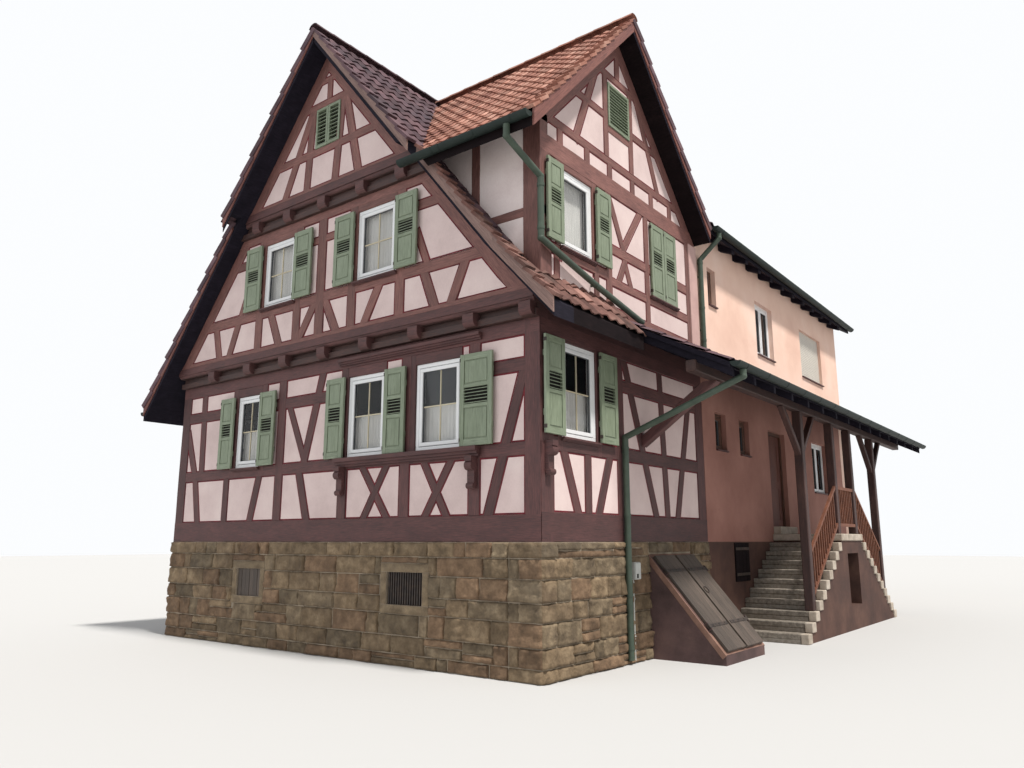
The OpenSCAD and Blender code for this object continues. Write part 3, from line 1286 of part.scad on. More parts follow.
module entrance_door() color(c_door) placed() difference() {
    union() {
        translate([door_x - door_t, door_y0 + door_frame_w + leaf_gap, door_z0 + leaf_gap])
            cube([door_t, door_w - 2 * door_frame_w - 2 * leaf_gap, door_h - door_frame_w - 2 * leaf_gap]);
        for (h = door_hinges) translate([pin_x, pin_y, door_z0 + h]) {
            cylinder(h = knuckle_l, r = knuckle_r, $fn = 32);
            translate([0, -90, 0]) cube([door_x - door_t - pin_x + 1, 82, knuckle_l]);
        }
        // Handle and its plate
        translate([door_x - 1, door_y0 + door_frame_w + 60, door_z0 + 950]) cube([7, 40, 220]);
        translate([door_x + 4, door_y0 + door_frame_w + 80, door_z0 + 1060]) rotate([0, 90, 0])
            cylinder(h = 40, r = 9, $fn = 24);
        translate([door_x + 35, door_y0 + door_frame_w + 80, door_z0 + 1060]) rotate([-90, 0, 0])
            cylinder(h = 110, r = 8, $fn = 24);
    }
    // Grooves round its two panels
    for (z = [[150, 800], [950, 1700]]) wall_y(door_x + over, groove_in + over) difference() {
        translate([door_y0 + 210, door_z0 + z[0]]) square([door_w - 420, z[1] - z[0]]);
        translate([door_y0 + 210 + 2 * groove, door_z0 + z[0] + 2 * groove])
            square([door_w - 420 - 4 * groove, z[1] - z[0] - 4 * groove]);
    }
    for (h = door_hinges) translate([pin_x, pin_y, door_z0 + h - over])
        cylinder(h = knuckle_l + 2 * over, r = pin_r + pin_gap, $fn = 32);
}

cellar_floor();
plinth_front();
plinth_left();
plinth_right();
annexe_plinth();
plinth_rear();
ground_floor();
upper_floor();
attic_floor();
front_ground_frame();
first_jetty();
front_upper_frame();
second_jetty();
front_gable_frame();
front_plaster();
side_frame();
cross_gable_frame();
side_plaster();
cross_cheek();
left_frame();
left_plaster();
annexe_wall_near();
annexe_wall_far();
annexe_wall_over_door();
annexe_wall_upper();
annexe_wall_left();
annexe_wall_rear();
annexe_front_gable();
main_roof_left();
main_roof_right();
side_pent();
cross_roof();
annexe_roof();
porch_roof();
verge_boards();
gutters();
downpipes();
front_windows();
side_windows();
hidden_windows();
window_glass();
window_sills();
front_shutters();
side_shutters();
vents();
wall_fittings();
near_stair_core();
landing_base();
far_stair_core();
stair_treads();
landing();
balustrades();
porch_posts();
porch_purlin();
porch_braces();
hatch_frame();
door_frame();
entrance_door();
hatch_leaf_near();
hatch_leaf_far();
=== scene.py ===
"""Looks of the half timbered house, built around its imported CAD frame.

Lengths are in metres. Pieces are worked out in house coordinates: x from the ridge line, y into the
depth from the street front, z up from the top of the plinth. OFF takes them to the part's frame.
"""

import math
import random

import bmesh
import bpy
import numpy as np
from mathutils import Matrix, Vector, noise


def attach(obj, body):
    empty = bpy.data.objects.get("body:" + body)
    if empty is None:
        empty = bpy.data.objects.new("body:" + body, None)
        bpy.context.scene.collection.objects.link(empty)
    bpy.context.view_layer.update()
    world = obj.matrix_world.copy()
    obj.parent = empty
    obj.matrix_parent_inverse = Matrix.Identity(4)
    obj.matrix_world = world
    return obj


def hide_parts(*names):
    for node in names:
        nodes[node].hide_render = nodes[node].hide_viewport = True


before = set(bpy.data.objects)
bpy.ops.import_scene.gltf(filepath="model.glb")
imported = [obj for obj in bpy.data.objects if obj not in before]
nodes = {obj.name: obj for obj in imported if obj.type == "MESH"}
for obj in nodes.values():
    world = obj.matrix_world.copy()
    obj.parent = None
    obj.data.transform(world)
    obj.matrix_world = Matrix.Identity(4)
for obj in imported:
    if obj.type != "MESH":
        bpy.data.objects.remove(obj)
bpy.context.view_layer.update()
rng = random.Random(4)

# Sizes shared with the part
HALF = 4.175
BLOCK = 4.85
DEPTH = 13.57
PLINTH = 1.65
OFF = Vector((0, -DEPTH / 2, PLINTH))
UPPER_Y = -0.15
GABLE_Y = -0.27
MAIN = math.radians(50.6)
KICK = math.radians(47)
CROSS = math.radians(46.1)
ANNEXE = math.radians(32)
PORCH = math.radians(27.2)
RIDGE = 3.417 + math.tan(MAIN) * HALF
CROSS_RIDGE = RIDGE - 0.2
CROSS_Y = 2.2
ROOF_T = 0.19
PORCH_T = 0.12
PORCH_Z = 3.3
PORCH_TIP = HALF + 1.75
PORCH_Y = 1.85
LEFT_TIP = HALF + 0.7
RIGHT_TIP = HALF + 0.5
KICK_X = HALF - 0.45
VERGE_LOW = 0.4
VERGE_HIGH = 0.6
CROSS_TIP = HALF + 0.3
CROSS_EAVE = 0.55
ANNEXE_TIP = HALF + 0.3
REAR_END = DEPTH + 0.3
GABLE_Z = 5.74
STEP_Z = GABLE_Z - 0.04
WALL_T = 0.18
PLASTER_BACK = 0.015


def main_top(x):
    return RIDGE - math.tan(MAIN) * abs(x)


def kick_top(x):
    return main_top(KICK_X) - math.tan(KICK) * (x - KICK_X)


def cross_top(y):
    return CROSS_RIDGE - math.tan(CROSS) * abs(y - CROSS_Y)


def annexe_top(x):
    return RIDGE - math.tan(ANNEXE) * abs(x)


def porch_top(x):
    return PORCH_Z - math.tan(PORCH) * (x - HALF)


def upright(thickness, pitch):
    """Height of a sloping slab, measured straight down."""
    return thickness / math.cos(pitch)


# Materials
def rgb(text):
    """Linear colour of an sRGB hex text."""
    out = []
    for i in (0, 2, 4):
        c = int(text[i:i + 2], 16) / 255
        out.append(c / 12.92 if c <= 0.04045 else ((c + 0.055) / 1.055) ** 2.4)
    return (*out, 1)


class Nodes:
    """A material with short calls for its nodes."""

    def __init__(self, name):
        self.mat = bpy.data.materials.new(name)
        self.mat.use_nodes = True
        self.tree = self.mat.node_tree
        self.bsdf = self.tree.nodes["Principled BSDF"]

    def new(self, kind, **values):
        n = self.tree.nodes.new(kind)
        for k, v in values.items():
            if k.startswith("in_"):
                key = k[3:]
                n.inputs[int(key) if key.isdigit() else key.replace("_", " ")].default_value = v
            else:
                setattr(n, k, v)
        return n

    def link(self, a, b):
        self.tree.links.new(a, b)

    def coords(self, kind, scale=(1, 1, 1)):
        if kind == "object":
            out = self.new("ShaderNodeTexCoord").outputs["Object"]
        else:
            out = self.new("ShaderNodeAttribute", attribute_name=kind).outputs["Vector"]
        m = self.new("ShaderNodeMapping", in_Scale=scale)
        self.link(out, m.inputs["Vector"])
        return m.outputs["Vector"]

    def noise(self, vector, scale, detail=4.0, rough=0.55):
        n = self.new("ShaderNodeTexNoise", in_Scale=scale, in_Detail=detail, in_Roughness=rough)
        self.link(vector, n.inputs["Vector"])
        return n.outputs["Fac"]

    def ramp(self, fac, stops):
        r = self.new("ShaderNodeValToRGB")
        e = r.color_ramp.elements
        e[0].position, e[0].color = stops[0]
        e[1].position, e[1].color = stops[-1]
        for p, c in stops[1:-1]:
            n = e.new(p)
            n.color = c
        self.link(fac, r.inputs["Fac"])
        return r.outputs["Color"]

    def fill(self, sock, value):
        """Links a socket, or writes a plain value."""
        if isinstance(value, bpy.types.NodeSocket):
            self.link(value, sock)
        else:
            sock.default_value = value

    def mix(self, fac, a, b, mode="MIX"):
        m = self.new("ShaderNodeMix", data_type="RGBA", blend_type=mode)
        for i, value in ((0, fac), (6, a), (7, b)):
            self.fill(m.inputs[i], value)
        return m.outputs[2]

    def range(self, fac, low, high, from_low=0.0, from_high=1.0):
        m = self.new("ShaderNodeMapRange", in_1=from_low, in_2=from_high, in_3=low, in_4=high)
        self.link(fac, m.inputs[0])
        return m.outputs[0]

    def math(self, op, a, b):
        m = self.new("ShaderNodeMath", operation=op)
        self.fill(m.inputs[0], a)
        self.fill(m.inputs[1], b)
        return m.outputs[0]

    def toned(self, colour, low=0.8, high=1.18):
        """The colour made darker or lighter by the piece's own tone attribute."""
        t = self.new("ShaderNodeAttribute", attribute_name="tone").outputs["Fac"]
        f = self.range(t, low, high)
        c = self.new("ShaderNodeCombineColor")
        for i in range(3):
            self.link(f, c.inputs[i])
        return self.mix(1.0, colour, c.outputs[0], "MULTIPLY")

    def finish(self, colour, rough=0.8, bumps=(), spec=0.3):
        """Colour, roughness and a chain of (height, strength, distance) bumps."""
        self.link(colour, self.bsdf.inputs["Base Color"])
        self.fill(self.bsdf.inputs["Roughness"], rough)
        self.bsdf.inputs["Specular IOR Level"].default_value = spec
        last = None
        for height, strength, distance in bumps:
            b = self.new("ShaderNodeBump", in_Strength=strength, in_Distance=distance)
            self.link(height, b.inputs["Height"])
            if last is not None:
                self.link(last, b.inputs["Normal"])
            last = b.outputs["Normal"]
        if last is not None:
            self.link(last, self.bsdf.inputs["Normal"])
        return self.mat


def wood(name, colours, along="grain", stretch=(1.2, 14, 14), rough=(0.55, 0.8), depth=0.004,
         tones=(0.78, 1.2), spec=0.5):
    """Painted or bare timber with grain along the first axis; colours are three hex texts, dark to light."""
    n = Nodes(name)
    dark, mid, light = (rgb(c) for c in colours.split())
    grain = n.noise(n.coords(along, stretch), 6.0, 6, 0.65)
    wide = n.noise(n.coords(along, (1, 3, 3)), 1.7, 3)
    f = n.math("ADD", n.math("MULTIPLY", grain, 0.65), n.math("MULTIPLY", wide, 0.35))
    c = n.ramp(f, [(0.32, dark), (0.5, mid), (0.68, light)])
    cracks = n.noise(n.coords(along, (0.8, 30, 30)), 4.0, 2, 0.5)
    crack = n.ramp(cracks, [(0.33, (0.25, 0.22, 0.2, 1)), (0.4, (1, 1, 1, 1))])
    c = n.toned(n.mix(0.55, c, crack, "MULTIPLY"), *tones)
    return n.finish(c, n.range(grain, *rough), [(grain, 0.35, depth), (cracks, 0.25, depth)], spec)


def mottled(name, colours, scale=2.0, fine=60.0, rough=(0.75, 0.95), depth=0.002, tones=(0.9, 1.08),
            strength=0.35, stain=None, swell=0.2):
    """Plaster, stone or clay: broad clouds, fine grain, a little bump and patches of a stain."""
    n = Nodes(name)
    dark, mid, light = (rgb(c) for c in colours.split())
    v = n.coords("object")
    broad = n.noise(v, scale, 5, 0.6)
    grain = n.noise(v, fine, 3, 0.6)
    f = n.math("ADD", n.math("MULTIPLY", broad, 0.8), n.math("MULTIPLY", grain, 0.2))
    c = n.ramp(f, [(0.34, dark), (0.5, mid), (0.66, light)])
    if stain is not None:
        colour, low, high = stain
        patch = n.range(n.noise(n.coords("object", (0.6, 0.6, 1.4)), 1.1, 6, 0.65), 0, 1, low, high)
        c = n.mix(patch, c, rgb(colour))
    c = n.toned(c, *tones)
    return n.finish(c, n.range(grain, *rough), [(broad, swell, depth * 3), (grain, strength, depth)])


def plain(name, colour, rough, spec=0.5, noise=0.06, scale=8.0):
    """A painted or moulded surface with slight cloudiness."""
    n = Nodes(name)
    colour = rgb(colour)
    v = n.coords("object")
    f = n.noise(v, scale, 4)
    low = tuple(c * (1 - noise) for c in colour[:3]) + (1,)
    high = tuple(min(1, c * (1 + noise)) for c in colour[:3]) + (1,)
    c = n.ramp(f, [(0.3, low), (0.7, high)])
    fine = n.noise(v, scale * 12, 2)
    return n.finish(c, n.range(f, rough * 0.85, min(1, rough * 1.15)), [(fine, 0.08, 0.001)], spec)


def glass():
    """A nearly clear pane with a faint wave and a strong reflection."""
    n = Nodes("window_glass")
    v = n.coords("object")
    c = n.ramp(n.noise(v, 1.2, 2), [(0.3, rgb("1d2226")), (0.7, rgb("2b3136"))])
    wave = n.noise(v, 2.6, 1)
    n.bsdf.inputs["Alpha"].default_value = 0.15
    n.bsdf.inputs["IOR"].default_value = 2.1
    return n.finish(c, 0.03, [(wave, 0.05, 0.01)], 0.5)


# Settings that several materials share
STONE = {"scale": 5, "fine": 28, "depth": 0.012, "tones": (0.7, 1.2), "strength": 1.0, "swell": 0.7}
SMOOTH = {"scale": 1.3, "fine": 45, "depth": 0.0015}
RENDER = {"scale": 0.8, "fine": 110, "depth": 0.003}
ROUGHCAST = {"fine": 90, "depth": 0.004}
WORN = {"scale": 18, "fine": 140, "depth": 0.002}
CLAY = {"fine": 60, "depth": 0.003}
ROOF_BOARDS = {"along": "object", "stretch": (3, 1, 14)}
# Materials by the short names that the pieces use
M = {
    "timber": wood("timber", "341f20 503130 67413f"),
    "timber_red": wood("timber_red", "563835 744d47 8f645c"),
    # Dark timber of the porch; also painted shade in the jetties' recesses and undersides
    "timber_dark": wood("timber_dark", "291918 3d2622 563a33"),
    "rim": mottled("panel_rim", "4a1a22 642129 7a3038", 5, 40, depth=0.001),
    "plaster": mottled("plaster", "cdb8b5 dac5c2 e3d0cc", **SMOOTH),
    "render": mottled("render", "e5bfad f1cebc f7d9ca", stain=("dcb0a0", 0.62, 0.9), **RENDER),
    # The render above made redder and darker: the darkening is painted shade of the porch on the lower walls
    "render_low": mottled("render_low", "8a6056 9c7065 aa7d71", stain=("7c564d", 0.6, 0.9), **RENDER),
    # Plaster lighter than the walls' own: painted light on the cheek, which lies in the cross roof's shade
    "plaster_painted_light": mottled("cheek_plaster", "e2d1ce eedfdc f5e9e6", **SMOOTH),
    "pilaster": mottled("pilaster", "bb9994 cdaba5 dabab3", 1.2, 60, depth=0.0015),
    "base_render": mottled("base_render", "3d2c28 513a33 61473d", 1.6,
                           stain=("3f302d", 0.55, 0.8), **ROUGHCAST),
    "cheek_top": mottled("hatch_strip", "6b5047 826457 957668", 3, stain=("6b4d45", 0.55, 0.85), **ROUGHCAST),
    "cheek": mottled("hatch_render", "443634 584544 69534f", 1.8, stain=("403432", 0.55, 0.8), **ROUGHCAST),
    "mortar": mottled("mortar", "776b5d 998c7b b1a492", 3, 70, depth=0.006),
    "stone": mottled("stone", "5a4c3b 786650 938067", stain=("554639", 0.5, 0.8), **STONE),
    "dressed": mottled("dressed_stone", "5f5241 7c6c57 95846b", 5, stain=("564a3c", 0.5, 0.85), **CLAY),
    "step": mottled("step_stone", "645d55 81796f 9a9288", stain=("5f564c", 0.56, 0.9), **WORN),
    # The tread stone made lighter: painted light on the risers, which face away from the key light
    "riser": mottled("riser_stone", "827a71 968e84 a79f96", stain=("82796f", 0.56, 0.9), **WORN),
    "stone_red": mottled("stone_red", "594838 78614c 927960", stain=("554336", 0.5, 0.8), **STONE),
    "stone_grey": mottled("stone_grey", "55493b 746551 8f7f68", stain=("4e463d", 0.5, 0.8), **STONE),
    "cream": mottled("cream_stone", "9c9184 b6aa9c cbc0b3", 5, 70, depth=0.003, stain=("8a7a66", 0.55, 0.85)),
    "tile": mottled("tile_dark", "3d2e35 5b464c 745a5e", 2.2, tones=(0.55, 1.35),
                    stain=("3b3840", 0.5, 0.8), **CLAY),
    "tile_brown": mottled("tile_brown", "573b36 7a574f 98746a", 2.2, tones=(0.6, 1.3),
                          stain=("4d4540", 0.5, 0.8), **CLAY),
    "tile_warm": mottled("tile_warm", "7a5046 9c6c5d be9484", 2.4, tones=(0.66, 1.25),
                         stain=("76554a", 0.55, 0.85), **CLAY),
    # Roof undersides, rafters and the verges' low boards: near-black tinted blue-violet, painted shade under
    # the eaves
    "soffit": wood("soffit", "14121b 1f1c26 2b2733", rough=(0.75, 0.95), spec=0.15, **ROOF_BOARDS),
    # Near-black boards: painted shade under the pent and the cross roof; also the dark flap on the annexe's
    # plinth
    "under": wood("under_boards", "0f0b0d 191214 251c1d", rough=(0.8, 0.95), spec=0.1, **ROOF_BOARDS),
    "verge": wood("verge", "5b4541 7c625b 977c72"),
    "verge_red": wood("verge_red", "55302f 74473f 8f5f55"),
    "shutter": wood("shutter_paint", "67725b 7b8670 8c9781", depth=0.0012, rough=(0.45, 0.6),
                    tones=(0.9, 1.1)),
    # Near-black ground: painted shade behind louvres and bars and in the hatch's split; also a small black
    # mark on the meter box
    "slot": mottled("dark_gap", "15130f 1b1916 24201c", 6),
    "door": wood("door_paint", "3f1f18 5b2f24 6f3f31", depth=0.002),
    "jamb": wood("jamb_wood", "40291f 55382b 6b4a3a", depth=0.002),
    "rail": wood("rail_wood", "54301f 6f412c 87563e", along="object", stretch=(5, 5, 5), depth=0.002),
    "board": wood("hatch_boards", "362e28 4d423a 61544b", tones=(0.75, 1.2)),
    "iron": mottled("iron", "2a2523 3a322e 4b3d35", 12, 120, rough=(0.45, 0.7)),
    "white": plain("window_white", "e6e7e8", 0.32, noise=0.03),
    "seal": plain("window_seal", "55575a", 0.5),
    "gold": plain("glazing_bar", "c9bda0", 0.35),
    "gutter": plain("gutter_metal", "1f2926", 0.6, spec=0.25, noise=0.3, scale=5),
    "green": plain("green_metal", "445045", 0.5, spec=0.3, noise=0.25, scale=5),
    "grey": plain("meter_box", "b9bab6", 0.5, noise=0.1),
    "curtain": plain("curtain", "f0efeb", 0.95, scale=3),
    "shade": plain("roller_shutter", "cfc9bf", 0.6),
    "glass": glass(),
}


# Mesh building
def point_data(mesh, name, kind, values):
    """Writes a number (FLOAT) or a vector (FLOAT_VECTOR) for each point of a mesh."""
    key = "value" if kind == "FLOAT" else "vector"
    mesh.attributes.new(name, kind, "POINT").data.foreach_set(key, np.array(values, np.float32).ravel())


def in_scene(name, data):
    obj = bpy.data.objects.new(name, data)
    bpy.context.scene.collection.objects.link(obj)
    return obj


class Piece:
    """Collects the faces of one mesh, with its materials, tones and grain directions."""

    def __init__(self, *materials):
        self.materials = list(materials)
        self.v, self.f, self.mat, self.tone, self.grain = [], [], [], [], []

    def add(self, verts, faces, material=None, tone=None, grain=None):
        base = len(self.v)
        verts = [tuple(p) for p in verts]
        self.v.extend(verts)
        self.f.extend(tuple(base + i for i in f) for f in faces)
        slot = self.materials.index(material) if material else 0
        self.mat.extend([slot] * len(faces))
        t = rng.random() if tone is None else tone
        self.tone.extend([t] * len(verts))
        if grain is None:
            shift = rng.random() * 9
            grain = [(p[0] + shift, p[1] + shift, p[2]) for p in verts]
        self.grain.extend(tuple(g) for g in grain)

    def make(self, name, body="house", slot=None, smooth=False, replaces=()):
        mesh = bpy.data.meshes.new(name)
        co = np.array(self.v, float) + np.array(OFF)
        mesh.from_pydata(co.tolist(), [], self.f)
        for m in self.materials:
            mesh.materials.append(M[m])
        mesh.polygons.foreach_set("material_index", np.array(self.mat, np.int32))
        mesh.polygons.foreach_set("use_smooth", np.full(len(self.f), smooth))
        point_data(mesh, "tone", "FLOAT", self.tone)
        point_data(mesh, "grain", "FLOAT_VECTOR", self.grain)
        mesh.update()
        obj = in_scene(name, mesh)
        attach(obj, body)
        if replaces:
            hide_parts(*replaces)
        return obj


def soft_box(piece, lo, hi, bevel, material=None, tone=None, axis=0, place=lambda p: p):
    """A box with bevelled edges; its grain runs along axis."""
    bm = bmesh.new()
    bmesh.ops.create_cube(bm, size=1)
    for v in bm.verts:
        v.co = Vector([(lo[i] + hi[i]) / 2 + v.co[i] * (hi[i] - lo[i]) for i in range(3)])
    bmesh.ops.bevel(bm, geom=bm.edges[:], offset=bevel, segments=1, affect="EDGES", profile=0.5)
    shift = rng.random() * 20
    verts = [tuple(p.co) for p in bm.verts]
    faces = [tuple(q.index for q in p.verts) for p in bm.faces]
    bm.free()
    grain = [(p[axis] + shift, p[(axis + 1) % 3], p[(axis + 2) % 3]) for p in verts]
    piece.add([place(p) for p in verts], faces, material, tone, grain)


def fronted(y):
    """Places (u, out, z) of the wall at depth y that looks to the street."""
    return lambda p: (p[0], y - p[1], p[2])


def sided(x):
    """Places (u, out, z) of the wall at x that looks to +x; u is y."""
    return lambda p: (x + p[1], p[0], p[2])


def lefted(x):
    """Places (u, out, z) of the wall at -x that looks to -x; u is y."""
    return lambda p: (-x - p[1], p[0], p[2])


def backed(p):
    """Places (u, out, z) of the rear wall, which looks to +y."""
    return (-p[0], DEPTH + p[1], p[2])


# Timber frames
# Hewn timbers waver by these amounts, every step of their length
HEWN_STEP, HEWN_EDGE, HEWN_FACE = 0.22, 0.003, 0.0025


def beam(piece, place, a, b, w, back, depth=WALL_T, cuts=(), material=None, chamfer=0.007):
    """A hewn timber from a to b in the wall's (u, z), its face back behind the wall's face."""
    a, b = np.array(a, float), np.array(b, float)
    e = b - a
    length = float(np.hypot(*e))
    e = e / length
    n = np.array((-e[1], e[0]))
    steps = max(2, int(length / HEWN_STEP))
    c = chamfer
    ring = [(-w / 2, -depth), (-w / 2, -c), (-w / 2 + c, 0), (w / 2 - c, 0), (w / 2, -c), (w / 2, -depth)]
    verts, faces = [], []
    for i in range(steps + 1):
        s = length * i / steps
        j0, j1 = rng.uniform(-HEWN_EDGE, HEWN_EDGE), rng.uniform(-HEWN_EDGE, HEWN_EDGE)
        out = rng.uniform(-HEWN_FACE, 0.0)
        for k, (across, d) in enumerate(ring):
            side = j0 if k < 3 else j1
            p = a + e * s + n * (across + side)
            verts.append((p[0], d - back + (out if 0 < k < 5 else 0), p[1]))
    for i in range(steps):
        for k in range(6):
            q, r = i * 6 + k, i * 6 + (k + 1) % 6
            faces.append((q, r, r + 6, q + 6))
    faces.append(tuple(range(5, -1, -1)))
    faces.append(tuple(range(steps * 6, steps * 6 + 6)))
    for nu, nz, d in cuts:
        if any(nu * v[0] + nz * v[2] > d + 1e-6 for v in verts):
            verts, faces = cut(verts, faces, (nu, nz, d))
            if not faces:
                return
    shift = rng.random() * 30
    grain = []
    for v in verts:
        du, dz = v[0] - a[0], v[2] - a[1]
        grain.append((du * e[0] + dz * e[1] + shift, du * n[0] + dz * n[1], v[1]))
    piece.add([place(v) for v in verts], faces, material, rng.random(), grain)


def solid(verts, faces):
    """A bmesh of these points and faces."""
    bm = bmesh.new()
    vs = [bm.verts.new(v) for v in verts]
    for f in faces:
        bm.faces.new([vs[i] for i in f])
    return bm


def cut_away(bm, co, no, dist=0.0):
    """Clears what lies beyond a plane, and gives the cut's points and edges."""
    r = bmesh.ops.bisect_plane(bm, geom=bm.verts[:] + bm.edges[:] + bm.faces[:], dist=dist, plane_co=co,
                               plane_no=no, clear_outer=True)
    return r["geom_cut"]


def emptied(bm):
    """Points and faces of a bmesh, turned outwards, which is freed."""
    bmesh.ops.recalc_face_normals(bm, faces=bm.faces[:])
    for i, v in enumerate(bm.verts):
        v.index = i
    out = [tuple(v.co) for v in bm.verts], [tuple(v.index for v in f.verts) for f in bm.faces]
    bm.free()
    return out


def cut(verts, faces, plane):
    """What lies on the inner side of the upright plane nu u + nz z = d."""
    nu, nz, d = plane
    bm = solid(verts, faces)
    no = Vector((nu, 0, nz))
    rim = [g for g in cut_away(bm, no * d / no.length_squared, no, 1e-5) if isinstance(g, bmesh.types.BMVert)]
    if len(rim) > 2:
        # A convex cap: the cut's corners in order round their middle
        mid = sum((v.co for v in rim), Vector()) / len(rim)
        a = no.normalized()
        x = a.orthogonal().normalized()
        y = a.cross(x)
        rim.sort(key=lambda v: math.atan2((v.co - mid).dot(y), (v.co - mid).dot(x)))
        if not bm.faces.get(rim):
            bm.faces.new(rim)
    return emptied(bm)
class Wall:
    """Timbers of one wall, given in millimetres as they are in the part, (u, z) of each end."""

    def __init__(self, piece, place, cuts=()):
        self.piece, self.place, self.cuts = piece, place, list(cuts)

    def beam(self, a, b, w, back, cuts=()):
        a = (a[0] / 1000, a[1] / 1000)
        b = (b[0] / 1000, b[1] / 1000)
        beam(self.piece, self.place, a, b, w / 1000, back, cuts=self.cuts + list(cuts))

    def rail(self, x0, x1, z, h=170, back=None, cuts=()):
        if back is None:
            back = 0.0 if h >= 200 else 0.004
        self.beam((x0, z + h / 2), (x1, z + h / 2), h, back, cuts)

    def post(self, x, z0, z1, w=190, back=0.002, cuts=()):
        self.beam((x, z0), (x, z1), w, back, cuts)

    def bar(self, x0, z0, x1, z1, w=150, back=0.006, cuts=()):
        self.beam((x0, z0), (x1, z1), w, back, cuts)

    def rails(self, *rows):
        for row in rows:
            self.rail(*row)

    def posts(self, *rows):
        for row in rows:
            self.post(*row)

    def bars(self, *rows):
        for row in rows:
            self.bar(*row)


# Half the width in the walls' millimetres
MH = HALF * 1000


def under_roof(pitch, ridge, middle=0.0):
    """Cuts that keep timbers under both slopes of a roof, each nu u + nz z <= d as (nu, nz, d)."""
    top = ridge - upright(ROOF_T, pitch) - 0.001
    return [(side * math.tan(pitch), 1, top + side * math.tan(pitch) * middle) for side in (-1, 1)]


def verge_beams(wall, z0):
    """Timbers that follow the main roof's underside, from height z0 in millimetres to the ridge."""
    w = 230
    z0 = z0 / 1000
    top = RIDGE - upright(ROOF_T, MAIN) - w / 2000 / math.cos(MAIN)
    for side in (-1, 1):
        low = (top - z0) / math.tan(MAIN)
        a = (side * (low + 0.25) * 1000, (z0 - 0.25 * math.tan(MAIN)) * 1000)
        b = (-side * 100, top * 1000 + 100 * math.tan(MAIN))
        wall.beam(a, b, w, 0.001, [(0, -1, -z0), (-side, 0, 0)])


def front_timbers():
    p = Piece("timber")
    sill, high, top = 1080, 2170, 2850
    plate = top - 200
    w = Wall(p, fronted(0), [(1, 0, HALF - 0.006), (-1, 0, HALF - 0.006)])
    w.rails((-MH, MH, 0, 340), (-MH, MH, plate, 200), (-MH, MH, sill))
    w.posts((-MH + 125, 0, top, 250, 0.001), (MH - 125, 0, top, 250, 0.001), (-1125, 340, plate),
            (1785, 340, plate), (3085, 340, plate), (455, 340, sill, 190), (445, sill, plate, 150),
            (-2465, sill, plate, 140), (-1625, sill, plate, 140))
    w.rails((-MH, -2395, high), (-1695, 465, high), (3085, MH, high))
    for x, width in ((-2045, 700), (945, 840), (2415, 880)):
        w.rail(x - width / 2, x + width / 2, 2500, 150, 0.003)
    w.post(1925, sill, plate, 100)
    w.bar(-3430, 250, -3620, sill + 60)
    w.post(-2615, 340, sill, 150)
    w.bars((-1885, 250, -1650, sill + 60), (-335, 250, -615, sill + 60), (905, 250, 1450, sill + 60, 110),
           (1510, 250, 870, sill + 60, 110, 0.008), (2150, 250, 2710, sill + 60, 110),
           (2650, 250, 2140, sill + 60, 110, 0.008), (3310, 280, MH - 250, 2230),
           (-3640, sill + 100, -MH + 210, 2010), (-3425, sill + 100, -3480, top - 100),
           (-505, sill + 100, -75, top - 100), (-940, high + 60, -430, sill + 100, 120))
    p.make("front_ground_timbers", slot="timber", replaces=["front_ground_frame"])

    p = Piece("timber_red")
    w = Wall(p, fronted(UPPER_Y), under_roof(MAIN, RIDGE))
    z, rail = 3200, 3800
    verge_beams(w, z)
    w.rails((-MH, MH, z, 70, 0.0), (-MH, MH, rail, 160), (-MH, MH, 5220, 140, 0.0))
    for x, width in ((-1205, 860), (1205, 880)):
        for s in (-1, 1):
            w.post(x + s * (width / 2 + 90), z, 5360, 180)
        w.rail(x - width / 2, x + width / 2, 5120, 120, 0.003)
    w.post(-95, z, 5360, 200)
    w.rails((-775, 765, 4830, 110), (1645, 3000, 4810, 140), (-3000, -1635, 4810, 140))
    for a, b in ((-2860, -3040), (-2600, -2330), (-1100, -1400), (-640, -200), (360, 10), (945, 1310),
                 (2475, 2215), (2735, 3030)):
        w.bar(a, z + 20, b, rail + 50)
    w.bars((2290, rail + 140, 2060, 4500, 110), (-2290, rail + 140, -2060, 4500, 110))
    p.make("front_upper_timbers", slot="timber", replaces=["front_upper_frame"])

    p = Piece("timber_red")
    w = Wall(p, fronted(GABLE_Y), under_roof(MAIN, RIDGE))
    z = 5740
    verge_beams(w, z)
    w.rails((-MH, MH, z, 50, 0.0), (-MH, -245, z + 610, 130), (365, MH, z + 610, 130),
            (-245, 365, z + 610, 120), (-MH, -245, z + 1460, 110), (365, MH, z + 1460, 110),
            (-245, 365, z + 1460, 110), (-MH, MH, z + 1900, 90))
    w.bars((-1040, z + 10, -340, z + 1510), (-435, z + 10, -345, z + 1510), (285, z + 10, 405, z + 1510),
           (860, z + 10, 480, z + 1510))
    w.post(60, z + 1570, z + 1940, 110)
    p.make("front_gable_timbers", slot="timber", replaces=["front_gable_frame"])


